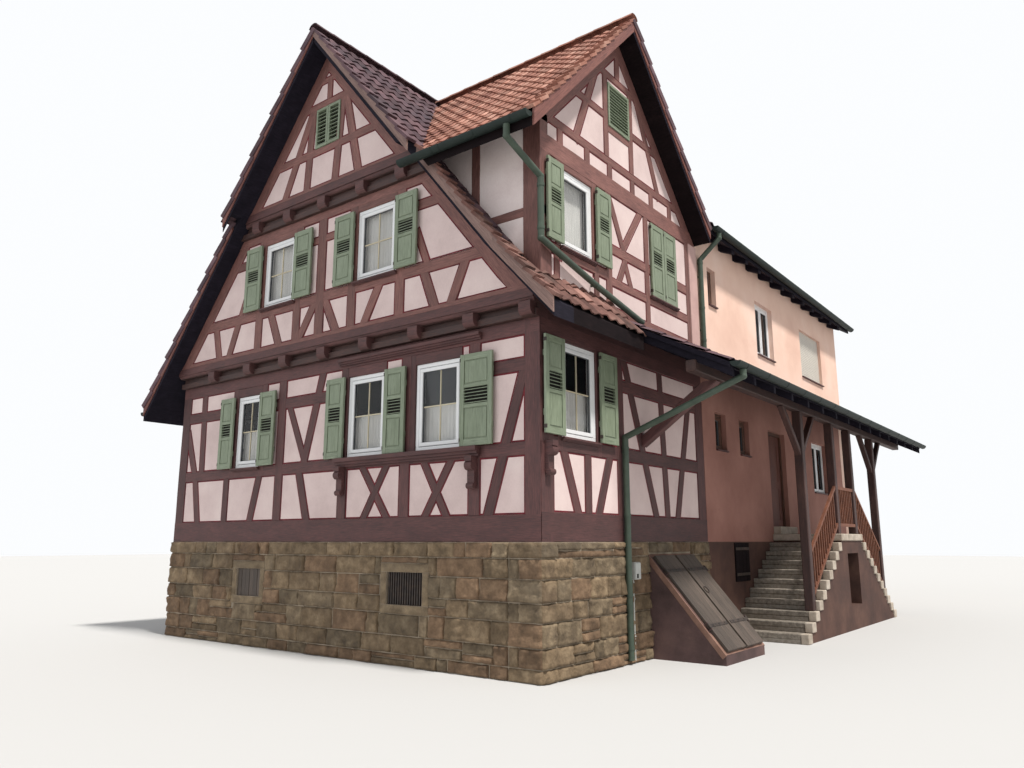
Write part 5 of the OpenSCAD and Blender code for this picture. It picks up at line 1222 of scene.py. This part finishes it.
def window(piece, panes, place, m, w, z, h, back, cross, leaves):
    """A window: outer frame, sash or sashes with seal lines, thin glazing bars and the pane."""
    paint_on = "jamb" if w < 0.5 else "white"
    inset, bar = 0.056, 0.009
    frame_bars(piece, place, m, w, z, h, 0.058, -back - 0.07, -back, paint_on)
    lw = (w - 2 * inset) / leaves
    gw, gh, gz = lw - 0.134, h - 0.246, z + 0.123
    for k in range(leaves):
        lm = m - (w - 2 * inset) / 2 + lw * (k + 0.5)
        # Outer seal, sash and inner seal, each set in by gap
        for gap, wide, out0, out1, material in (
                (0.0, 0.02, -0.06, -0.02, "seal"), (0.01, 0.053, -0.062, 0.004, paint_on),
                (0.059, 0.01, -0.05, -0.012, "seal")):
            frame_bars(piece, place, lm, lw - 2 * gap, z + inset + gap, h - 2 * (inset + gap), wide,
                       out0 - back, out1 - back, material)
        if cross:
            for half_w, z0, z1 in ((bar, gz, gz + gh), (gw / 2, gz + gh / 2 - bar, gz + gh / 2 + bar)):
                soft_box(piece, (lm - half_w, -back - 0.045, z0), (lm + half_w, -back - 0.026, z1), 0.002,
                         "gold", 0.5, place=place)
        edge = 0.004
        soft_box(panes, (lm - gw / 2 - edge, -back - 0.034, gz - edge),
                 (lm + gw / 2 + edge, -back - 0.03, gz + gh + edge), 0.0005, "glass", 0.5, place=place)


def windows():
    shallow, deep = 0.03, 0.09
    timbered = {name: (*o[:5], shallow, name != "side_up", 1) for name, o in SHUTTERED.items()}
    sets = {
        "front": [o for name, o in timbered.items() if "side" not in name],
        "side": [timbered["side_low"], timbered["side_up"]]
        + [(sided(HALF), *o, deep, False, leaves) for *o, leaves in (
            (5.635, 0.49, 1.6, 0.7, 1), (6.755, 0.49, 1.6, 0.7, 1), (11.45, 1.1, 1.1, 1.2, 2),
            (5.545, 0.37, 4.29, 0.74, 1), (8.25, 1.0, 3.8, 1.17, 2), (11.4, 1.6, 3.8, 1.17, 2))],
        "hidden": [(lefted(HALF), y, 0.85, 1.25, 1.25, shallow, True, 1) for y in (1.5, 3.4)]
        + [(lefted(HALF), y, 1.0, z, 1.17, deep, False, 2) for y in (6.2, 8.7, 11.2) for z in (1.1, 3.8)]
        + [(backed, x, 1.0, z, 1.17, deep, False, 2) for x in (-2.2, 0, 2.2) for z in (1.1, 3.8)]
        + [(backed, 0, 0.7, 6.0, 0.9, deep, True, 1)],
    }
    panes = Piece("glass")
    for wall, items in sets.items():
        p = Piece("white", "seal", "gold", "jamb")
        for item in items:
            window(p, panes, *item)
        p.make(wall + "_window_frames", slot="window_frames", replaces=[wall + "_windows"])
    panes.make("window_panes", slot="window_glass", replaces=["window_glass"])


windows()


def slat(piece, place, u0, u1, z, drop, back, front, tone):
    """A thin louvre blade whose outer edge lies drop lower than its inner one."""
    verts = []
    for out, foot in ((back, z + drop), (front, z)):
        for u in (u0, u1):
            verts += [place((u, out, foot)), place((u, out, foot + 0.01))]
    faces = [(0, 2, 3, 1), (4, 5, 7, 6), (0, 1, 5, 4), (2, 6, 7, 3), (1, 3, 7, 5), (0, 4, 6, 2)]
    piece.add(verts, faces, "shutter", tone)


def shutter(piece, place, m, w, z, h, stand=0.03, t=0.038):
    """A framed leaf with a panel above and below and slats between."""
    x0, x1 = m - w / 2, m + w / 2
    out = stand + t
    stile, rail = 0.075, 0.05
    u0, u1 = x0 + stile, x1 - stile
    mid0, mid1 = z + h * 0.45, z + h * 0.63
    foot, head = z + 0.09, z + h - 0.085
    def part(u0, u1, z0, z1, inner, outer, bevel, tone, axis=0, material="shutter"):
        soft_box(piece, (u0, inner, z0), (u1, outer, z1), bevel, material, tone, axis, place)

    # Stiles and rails
    for a, b in ((x0, u0), (u1, x1)):
        part(a, b, z, z + h, stand, out, 0.003, 0.5, 2)
    for c, d in ((z, foot), (head, z + h), (mid0 - rail, mid0), (mid1, mid1 + rail)):
        part(u0, u1, c, d, stand, out - 0.001, 0.003, 0.52)
    # Raised panels, a groove all round
    groove = 0.014
    for c, d in ((foot, mid0 - rail), (mid1 + rail, head)):
        part(u0, u1, c, d, stand + 0.006, out - 0.014, 0.001, 0.35, 2)
        part(u0 + groove, u1 - groove, c + groove, d - groove, stand + 0.008, out - 0.003, 0.006, 0.55, 2)
    # Slats over a dark ground, painted shade between the louvres
    part(u0, u1, mid0, mid1, stand + 0.002, stand + 0.006, 0.001, 0.5, material="slot")
    slats = 5
    for k in range(slats):
        slat(piece, place, u0 - 0.002, u1 + 0.002, mid0 + (k + 0.15) * (mid1 - mid0) / slats, 0.009,
             stand + 0.012, out + 0.004, 0.5)
    # Battens to the wall and hinge straps
    for c in (z + h * 0.18, z + h * 0.78):
        part(x0 + 0.02, x1 - 0.02, c, c + 0.08, 0.0, stand, 0.002, 0.3)
    for c in (z + 0.06, z + h - 0.1):
        part(x0 - 0.004, x0 + 0.012, c, c + 0.05, stand - 0.004, out + 0.004, 0.002, 0.4, material="iron")
def shutters():
    gap = 0.025
    pieces = {"front": Piece("shutter", "slot", "iron"), "side": Piece("shutter", "slot", "iron")}
    for name, (place, m, w, z, h, left, right) in SHUTTERED.items():
        p = pieces["side" if "side" in name else "front"]
        if left:
            shutter(p, place, m - w / 2 - gap - left / 2, left, z, h)
        shutter(p, place, m + w / 2 + gap + right / 2, right, z, h)
    # Closed pair in the cross gable
    for s in (-1, 1):
        shutter(pieces["side"], sided(HALF), 3.55 + s * 0.229, 0.442, 3.9, 1.25, stand=0.001, t=0.037)
    pieces["front"].make("front_shutter_leaves", slot="shutter_paint", replaces=["front_shutters"])
    pieces["side"].make("side_shutter_leaves", slot="shutter_paint", replaces=["side_shutters"])


shutters()


def vent(piece, place, m, w, z, h, leaves, n):
    """A louvred opening in the gable with one or two leaves."""
    lw = w / leaves
    for k in range(leaves):
        lm = m - w / 2 + lw * (k + 0.5)
        u0, u1 = lm - lw / 2, lm + lw / 2
        frame_bars(piece, place, lm, lw - 0.006, z, h, 0.045, -0.06, 0.012, "shutter")
        # Dark back behind the slats: painted shade
        soft_box(piece, (u0 + 0.03, -0.055, z + 0.03), (u1 - 0.03, -0.05, z + h - 0.03), 0.001, "slot", 0.5,
                 place=place)
        for i in range(n):
            slat(piece, place, u0 + 0.04, u1 - 0.04, z + 0.05 + i * (h - 0.1) / n, 0.014, -0.045, 0.008, 0.45)


def vents():
    p = Piece("shutter", "slot", "board", "iron")
    vent(p, fronted(GABLE_Y), 0.06, 0.61, GABLE_Z + 0.73, 0.71, 2, 9)
    vent(p, sided(HALF), 2.2, 0.66, 6.36, 0.74, 1, 12)
    # Cellar lights: upright boards in one, upright bars in the other over a dark ground that is painted shade
    # of the cellar
    a, b, c, d = LIGHTS[0]
    boards = 6
    for k in range(boards):
        u = a + (b - a) * k / boards
        soft_box(p, (u + 0.002, -0.12, c), (u + (b - a) / boards - 0.002, -0.012 - 0.004 * (k % 2), d), 0.004,
                 "board", None, 2, fronted(0))
    a, b, c, d = LIGHTS[1]
    soft_box(p, (a, -0.16, c), (b, -0.07, d), 0.001, "slot", 0.5, place=fronted(0))
    bars = 15
    for k in range(bars):
        u = a + (b - a) * (k + 0.5) / bars
        soft_box(p, (u - 0.013, -0.072, c), (u + 0.013, -0.012, d), 0.004, "iron", None, 2, fronted(0))
    p.make("gable_vents", slot="weathered_wood", replaces=["vents"])


vents()


# Stair, porch, hatch and fittings
RISER = 1.8 / 11
GOING = 0.235
STEPS = 10
STAIR_W = 1.3
NOSING = 0.025
TREAD_T = 0.09
LANDING_Y = (8.0, 9.43)
LANDING_Z = 0.15
SILL_Z = 0.3


def stair():
    """Stone treads with worn edges, cream blocks at their outer ends."""
    p = Piece("step", "cream", "riser")
    end = HALF + STAIR_W
    for side in (0, 1):
        d = -1 if side else 1
        start = LANDING_Y[side] - d * STEPS * GOING

        def stone_at(x0, x1, y0, y1, z0, z1, bevel, material):
            soft_box(p, (x0, y0, z0), (x1, y1, z1), bevel, material,
                     place=lambda q: (q[0], start + d * q[1], q[2]))

        for k in range(1, STEPS + 1):
            y, z = (k - 1) * GOING, -PLINTH + k * RISER
            under = z - TREAD_T
            stone_at(HALF, end - 0.11, y - NOSING, y + GOING - 0.001, under, z, 0.012, "step")
            # Riser stone under the nosing, in the lightened stone: painted light on the risers
            stone_at(HALF, end - 0.12, y - 0.013, y + 0.03, z - RISER + 0.003, under - 0.004, 0.003, "riser")
            stone_at(end - 0.107, end + NOSING, y - NOSING - 0.004, y + GOING * 0.72, z - RISER + 0.004,
                     z + 0.002, 0.01, "cream")
    p.make("stair_steps", slot="step_stone", replaces=["stair_treads"])
    p = Piece("cream", "step")
    y0, y1 = LANDING_Y
    soft_box(p, (HALF, y0 - NOSING, LANDING_Z - 0.13), (end + NOSING, y1 + NOSING, LANDING_Z), 0.012, "cream",
             0.4)
    soft_box(p, (HALF - 0.3, 8.05, 0.0), (HALF - 0.001, 9.05, SILL_Z), 0.006, "cream", 0.6)
    soft_box(p, (HALF - 0.02, 8.052, LANDING_Z), (HALF + 0.15, 9.048, SILL_Z), 0.01, "cream", 0.6)
    p.make("landing_stone", slot="step_stone", replaces=["landing"])
stair()

POST_X = HALF + 1.19
POST_HALF = 0.075
PURLIN_H = 0.16
PURLIN_Z = porch_top(POST_X) - PORCH_T / math.cos(PORCH) - 0.11 - PURLIN_H


def porch():
    """Posts, purlin, braces and strut with bevelled edges."""
    on_step = LANDING_Z - 8 * RISER
    feet = [(6.2375, on_step), (8.11, LANDING_Z), (9.32, LANDING_Z), (11.1925, on_step)]
    x0, x1 = POST_X - POST_HALF, POST_X + POST_HALF
    p = Piece("timber_dark")
    for y, z in feet:
        soft_box(p, (x0, y - POST_HALF, z), (x1, y + POST_HALF, PURLIN_Z), 0.012, None, None, 2)
    p.make("porch_post_timbers", slot="timber", replaces=["porch_posts"])
    p = Piece("timber_dark")
    soft_box(p, (x0, PORCH_Y, PURLIN_Z), (x1, REAR_END, PURLIN_Z + PURLIN_H), 0.012, None, None, 1)
    p.make("porch_purlin_timber", slot="timber", replaces=["porch_purlin"])
    p = Piece("timber_dark", "timber")
    for y, _ in (feet[0], feet[3]):
        for side in (-1, 1):
            beam(p, sided(POST_X + 0.05), (y, PURLIN_Z - 0.8), (y + side * 0.85, PURLIN_Z + 0.02), 0.09, 0,
                 depth=0.1, cuts=[(0, 1, PURLIN_Z), (-side, 0, -side * y - 0.076)], chamfer=0.01)
    beam(p, fronted(2.63), (HALF - 0.1, 1.42), (POST_X, PURLIN_Z + 0.04), 0.14, 0, depth=0.14,
         cuts=[(0, 1, PURLIN_Z), (-1, 0, -HALF)], material="timber", chamfer=0.012)
    p.make("porch_brace_timbers", slot="timber", replaces=["porch_braces"])


porch()


def tube(piece, a, b, r, material=None, n=16, place=lambda q: q):
    """A closed round bar from a to b."""
    a, b = Vector(a), Vector(b)
    e = (b - a).normalized()
    u = e.orthogonal().normalized()
    v = e.cross(u)
    verts = []
    for c in (a, b):
        for i in range(n):
            t = 2 * math.pi * i / n
            verts.append(place(tuple(c + u * r * math.cos(t) + v * r * math.sin(t))))
    faces = [(i, (i + 1) % n, n + (i + 1) % n, n + i) for i in range(n)]
    faces += [tuple(range(n - 1, -1, -1)), tuple(range(n, 2 * n))]
    piece.add(verts, faces, material, rng.random())


HATCH_Y, HATCH_W, HATCH_REACH, HATCH_TOP = 2.71, 1.43, 1.13, -0.18
SLOPE = math.atan2(HATCH_TOP + PLINTH - 0.14, HATCH_REACH)
SLOPE_L = math.hypot(HATCH_REACH, HATCH_TOP + PLINTH - 0.14)
LEAF_Z0, LEAF_Z1 = 0.008, 0.051
PIN_Y, PIN_Z = 0.034, 0.006 + 0.045 + 0.006


def hatch_place(side):
    """Places (down the slope, from the hinge side, off the slope) of the near (0) or far (1) half."""
    c, s = math.cos(SLOPE), math.sin(SLOPE)

    def place(q):
        y = HATCH_Y + (HATCH_W - q[1] if side else q[1])
        return (HALF + q[0] * c + q[2] * s, y, HATCH_TOP - q[0] * s + q[2] * c)

    return place


def hatch():
    """Two leaves of boards with straps, knuckles and a ring, on the slope's own axes."""
    boards, split = 4, HATCH_W / 2
    for side, name in ((0, "near"), (1, "far")):
        place = hatch_place(side)
        p = Piece("board", "iron", "slot")
        y0, y1 = 0.0524, split - 0.03
        # Dark strip along the split: painted shade of the gap between the leaves
        soft_box(p, (0.06, y1 - 0.004, LEAF_Z0), (SLOPE_L - 0.03, split - 0.004, 0.014), 0.001, "slot", 0.5,
                 0, place)
        for k in range(boards):
            a = y0 + (y1 - y0) * k / boards
            b = y0 + (y1 - y0) * (k + 1) / boards
            soft_box(p, (0.06 + rng.uniform(0, 0.004), a + 0.0015, LEAF_Z0),
                     (SLOPE_L - 0.03 - rng.uniform(0, 0.006), b - 0.0015, LEAF_Z1), 0.004, "board", None, 0,
                     place)
        for t in (0.2, 0.75):
            x = SLOPE_L * t
            soft_box(p, (x - 0.025, PIN_Y, LEAF_Z1), (x + 0.025, split - 0.06, LEAF_Z1 + 0.01), 0.003, "iron",
                     0.4, 1, place)
            tube(p, (x - 0.04, PIN_Y, PIN_Z), (x + 0.04, PIN_Y, PIN_Z), 0.0144, "iron", place=place)
            for y in (0.16, 0.36, 0.56):
                tube(p, (x, y, 0.06), (x, y, 0.066), 0.009, "iron", 10, place)
        if side == 1:
            # Ring handle beside the split
            m, r = 14, 0.055
            turns = [2 * math.pi * i / m for i in range(m + 1)]
            pts = [(SLOPE_L * 0.42 + r * math.cos(t), split - 0.11 + r * math.sin(t), 0.06) for t in turns]
            for i in range(m):
                tube(p, pts[i], pts[i + 1], 0.006, "iron", 8, place)
        p.make("hatch_boards_" + name, body="hatch_leaf_" + name, slot="weathered_wood",
               replaces=["hatch_leaf_" + name])
    # Rendered strips along the cheeks' sloping edges, clear of the leaves' swing
    p = Piece("cheek_top")
    for side in (0, 1):
        soft_box(p, (0.01, -0.012, -0.075), (SLOPE_L + 0.01, 0.015, 0.001), 0.004, "cheek_top", 0.5, 0,
                 hatch_place(side))
    p.make("hatch_slope_strips", slot="base_render")


hatch()


def fittings():
    """Meter box with its pipe, dark board on the annexe's plinth, roller shutter."""
    p = Piece("grey", "slot")
    soft_box(p, (HALF, 2.13, -0.52), (HALF + 0.095, 2.28, -0.28), 0.006, "grey", 0.5)
    soft_box(p, (HALF + 0.09, 2.135, -0.515), (HALF + 0.11, 2.275, -0.285), 0.008, "grey", 0.6)
    soft_box(p, (HALF + 0.1, 2.15, -0.5), (HALF + 0.1115, 2.2, -0.44), 0.002, "slot", 0.5)
    tube(p, (HALF + 0.02, 2.2, -1.64), (HALF + 0.02, 2.2, -0.515), 0.012, "grey")
    for z in (-1.3, -0.8):
        soft_box(p, (HALF, 2.18, z), (HALF + 0.036, 2.22, z + 0.03), 0.003, "grey", 0.4)
    p.make("meter_case", slot="window_frames", replaces=["wall_fittings"])
    p = Piece("under", "iron")
    wide = 0.1625
    for k in range(4):
        y = 5.95 + k * wide
        soft_box(p, (HALF, y + 0.002, -0.7), (HALF + 0.027, y + wide - 0.002, -0.02), 0.004, "under", None, 2)
    for z in (-0.6, -0.15):
        soft_box(p, (HALF + 0.025, 5.97, z), (HALF + 0.034, 6.58, z + 0.05), 0.003, "iron", 0.5, 1)
    p.make("plinth_flap", slot="timber")
    p = Piece("shade")
    z, slats = 3.8, 26
    step = 1.17 / slats
    for k in range(slats):
        soft_box(p, (HALF - 0.08, 10.602, z + k * step), (HALF - 0.064, 12.198, z + (k + 1) * step - 0.003),
                 0.004, None, 0.5, 1)
    p.make("roller_shutter_slats", slot="window_frames")


fittings()


GUTTER_R = 0.079
GUTTER_OUT = 0.075


def rain_gear():
    """Gutter brackets, the cross gutter's end past the valley and pipe collars."""
    p = Piece("gutter", "green")

    def bracket(centre, along):
        """A half ring under a gutter that runs along x (0) or y (1)."""
        m, thin, w = 12, 0.004, 0.022
        side = (1, 0) if along == 1 else (0, 1)
        verts, faces = [], []
        for i in range(m + 1):
            t = math.pi * (1 + i / m)
            for r in (GUTTER_R, GUTTER_R - thin):
                for o in (-w / 2, w / 2):
                    a = r * math.cos(t)
                    q = [centre[0] + side[0] * a, centre[1] + side[1] * a, centre[2] + r * math.sin(t)]
                    q[along] += o
                    verts.append(tuple(q))
        for q in range(0, m * 4, 4):
            for a, b in ((0, 1), (1, 3), (3, 2), (2, 0)):
                faces.append((q + a, q + b, q + 4 + b, q + 4 + a))
        p.add(verts, faces, "gutter", 0.4)

    porch_z = porch_top(PORCH_TIP) - 0.06
    for k in range(15):
        bracket((PORCH_TIP + GUTTER_OUT, PORCH_Y + 0.3 + k * 0.8, porch_z), 1)
    annexe_z = annexe_top(ANNEXE_TIP) - upright(ROOF_T, ANNEXE) / 2
    for k in range(11):
        for side in (-1, 1):
            bracket((side * (ANNEXE_TIP + GUTTER_OUT), BLOCK + 0.35 + k * 0.83, annexe_z), 1)
    cross_z = cross_top(-CROSS_EAVE) - 0.1
    valley_x = (RIDGE - cross_top(-CROSS_EAVE)) / math.tan(MAIN)
    for k in range(3):
        bracket((valley_x + 0.45 + k * 0.62, -CROSS_EAVE - GUTTER_OUT, cross_z), 0)
    # The cross gutter runs on past the valley and ends in a plate
    m, thin, y = 14, 0.005, -CROSS_EAVE - GUTTER_OUT
    turns = [math.pi * (1 + i / m) for i in range(m + 1)]
    verts = [(x, y + r * math.cos(t), cross_z + r * math.sin(t)) for x in (valley_x - 0.34, valley_x + 0.32)
             for r in (GUTTER_R, GUTTER_R - thin) for t in turns]
    n = m + 1
    faces = []
    for i in range(m):
        faces += [(i, i + 1, 2 * n + i + 1, 2 * n + i), (n + i, 3 * n + i, 3 * n + i + 1, n + i + 1)]
        faces += [(i, n + i, n + i + 1, i + 1), (2 * n + i, 2 * n + i + 1, 3 * n + i + 1, 3 * n + i)]
    faces += [(0, 2 * n, 3 * n, n), (m, n + m, 3 * n + m, 2 * n + m), tuple(range(m, -1, -1))]
    p.add(verts, faces, "gutter", 0.5)
    for k in range(7):
        bracket((-LEFT_TIP - GUTTER_OUT, -VERGE_LOW + 0.3 + k * 0.75, main_top(LEFT_TIP) - 0.12), 1)
    # Collars on the upright pipes
    pipe_x = HALF + 0.057
    for y, zs in ((2.02, (1.3, 0.35, -0.75, -1.45)), (-0.04, (4.6, 4.0)), (BLOCK + 0.1, (4.95, 4.1, 3.5))):
        for z in zs:
            tube(p, (pipe_x, y, z), (pipe_x, y, z + 0.045), 0.051, "green", 24)
    p.make("gutter_brackets", slot="green_metal")


rain_gear()


def curtains():
    """A curtain hanging in folds behind each shuttered window; the low ones cover half of it."""
    inside, rod_drop, hem = -0.15, 0.05, 0.06
    hung = [(name, place, m, w, z, h * (0.55 if "low" in name else 1))
            for name, (place, m, w, z, h, _, _) in SHUTTERED.items()]
    rods = Piece("white")
    for name, place, m, w, z, h in hung:
        rod_z = z + h - rod_drop
        tube(rods, (m - w / 2, inside, rod_z), (m + w / 2, inside, rod_z), 0.008, place=place)
    rods.make("curtain_rods", slot="window_frames")
    for name, place, m, w, z, h in hung:
        p = Piece("curtain")
        width, tall = w - 0.06, h - 0.09
        n, rows = 72, 8
        folds = int(width / 0.06)
        phase = rng.random() * 6
        verts, faces, line = [], [], []
        for i in range(n + 1):
            s = i / n
            u = m - width / 2 + width * s
            depth = 0.011 * math.sin(2 * math.pi * folds * s + phase) + 0.004 * math.sin(11 * s + phase)
            line.append((u, depth))
            for j in range(rows + 1):
                t = j / rows
                verts.append(place((u, inside - depth * (1.1 - 0.5 * t), z + hem + tall * t)))
        for i in range(n):
            for j in range(rows):
                q = i * (rows + 1) + j
                faces.append((q, q + rows + 1, q + rows + 2, q + 1))
        p.add(verts, faces, "curtain", 0.5)
        obj = p.make("curtain_" + name, slot="plaster", smooth=True)
        flat = sum(math.dist(a, b) for a, b in zip(line, line[1:]))


curtains()


# Surfaces of the kept CAD nodes
SURFACES = {
    "timber": ["first_jetty", "second_jetty", "window_sills"],
    "plaster": ["front_plaster", "side_plaster", "left_plaster"],
    "render": ["annexe_wall_upper", "annexe_wall_left", "annexe_wall_rear", "annexe_front_gable"],
    # Lower walls by the door: redder render, darkened as painted shade
    "render_low": ["annexe_wall_near", "annexe_wall_far", "annexe_wall_over_door"],
    "base_render": ["annexe_plinth", "plinth_rear", "near_stair_core", "far_stair_core", "landing_base"],
    "cheek": ["hatch_frame"],
    "mortar": ["plinth_front", "plinth_left", "plinth_right"],
    "step": ["cellar_floor"],
    "board": ["ground_floor", "upper_floor", "attic_floor"],
    "gutter": ["gutters"],
    "green": ["downpipes"],
    "rail": ["balustrades"],
    "jamb": ["door_frame"],
    "door": ["entrance_door"],
}
UPRIGHT_GRAIN = ("door_frame", "entrance_door")


def paint(name, material):
    """Gives a CAD node its material, an even tone and grain along x or, for the door, along z."""
    mesh = nodes[name].data
    mesh.materials.clear()
    mesh.materials.append(M[material])
    co = np.zeros(len(mesh.vertices) * 3, np.float32)
    mesh.vertices.foreach_get("co", co)
    co = np.roll(co.reshape(-1, 3), -2 if name in UPRIGHT_GRAIN else 0, axis=1)
    point_data(mesh, "tone", "FLOAT", np.full(len(mesh.vertices), 0.5))
    point_data(mesh, "grain", "FLOAT_VECTOR", co)


def repaint(name, material, chosen):
    """Gives the chosen faces of a node a second material."""
    mesh = nodes[name].data
    mesh.materials.append(M[material])
    for face in mesh.polygons:
        if chosen(face):
            face.material_index = 1


def soften(names, width=0.006):
    """Breaks the sharp edges of CAD nodes."""
    for n in names:
        b = nodes[n].modifiers.new("edges", "BEVEL")
        b.width = width
        b.segments = 2
        b.limit_method = "ANGLE"
        b.angle_limit = math.radians(35)


for material, names in SURFACES.items():
    for name in names:
        paint(name, material)
for name in ("first_jetty", "second_jetty"):
    # Recessed faces between the joist ends and all downward faces take the dark timber: painted shade
    front = min(v.co.y for v in nodes[name].data.vertices) + 0.05
    repaint(name, "timber_dark", lambda f: (f.center.y > front and f.normal.y < -0.9) or f.normal.z < -0.9)
repaint("hatch_frame", "cheek_top", lambda f: 0.3 < f.normal.z < 0.95 and f.area > 0.02)
soften(["first_jetty", "second_jetty", "window_sills", "landing_base", "near_stair_core", "far_stair_core",
        "hatch_frame", "annexe_plinth", "door_frame", "entrance_door"])
soften(["balustrades"], 0.004)


# Stage, light and camera
def floor():
    s = 90
    mesh = bpy.data.meshes.new("floor")
    mesh.from_pydata([(-s, -s, 0), (s, -s, 0), (s, s, 0), (-s, s, 0)], [], [(0, 1, 2, 3)])
    in_scene("floor", mesh)
    m = bpy.data.materials.new("floor")
    m.use_nodes = True
    b = m.node_tree.nodes["Principled BSDF"]
    b.inputs["Base Color"].default_value = (0.55, 0.548, 0.545, 1)
    b.inputs["Roughness"].default_value = 0.9
    mesh.materials.append(m)


def studio():
    """An even pale world, brighter where the camera or a reflection sees it, with a key and a fill light."""
    ambient, seen_white = 0.465, 1.0
    world = bpy.data.worlds.new("studio")
    bpy.context.scene.world = world
    world.use_nodes = True
    nt = world.node_tree
    bg = nt.nodes["Background"]
    path = nt.nodes.new("ShaderNodeLightPath")
    seen = nt.nodes.new("ShaderNodeMath")
    seen.operation = "MAXIMUM"
    nt.links.new(path.outputs["Is Camera Ray"], seen.inputs[0])
    nt.links.new(path.outputs["Is Glossy Ray"], seen.inputs[1])
    strength = nt.nodes.new("ShaderNodeMapRange")
    strength.inputs[3].default_value = ambient
    strength.inputs[4].default_value = seen_white
    nt.links.new(seen.outputs[0], strength.inputs[0])
    nt.links.new(strength.outputs[0], bg.inputs["Strength"])
    bg.inputs["Color"].default_value = (0.97, 0.985, 1.0, 1)

    for name, direction, power, angle, colour in (
            ("key", (-0.47, 0.06, -0.88), 4.15, 6, (1.0, 0.965, 0.91)),
            ("fill", (0.3, 0.9, -0.25), 0.6, 50, (0.9, 0.95, 1.0))):
        light = bpy.data.lights.new(name, "SUN")
        light.energy = power
        light.angle = math.radians(angle)
        light.color = colour
        in_scene(name, light).rotation_euler = Vector(direction).to_track_quat("-Z", "Y").to_euler()


def camera():
    """The camera solved from the photograph's level lines."""
    cam = bpy.data.cameras.new("camera")
    cam.lens = 27.70
    cam.sensor_width = 36
    obj = in_scene("camera", cam)
    obj.location = (9.8375, -14.7222, 1.6611)
    pitch = math.radians(11.275)
    look = Vector((-0.610 * math.cos(pitch), 0.792 * math.cos(pitch), math.sin(pitch)))
    obj.rotation_euler = look.to_track_quat("-Z", "Y").to_euler()
    bpy.context.scene.camera = obj
    bpy.context.scene.view_settings.view_transform = "Standard"


floor()
studio()
camera()
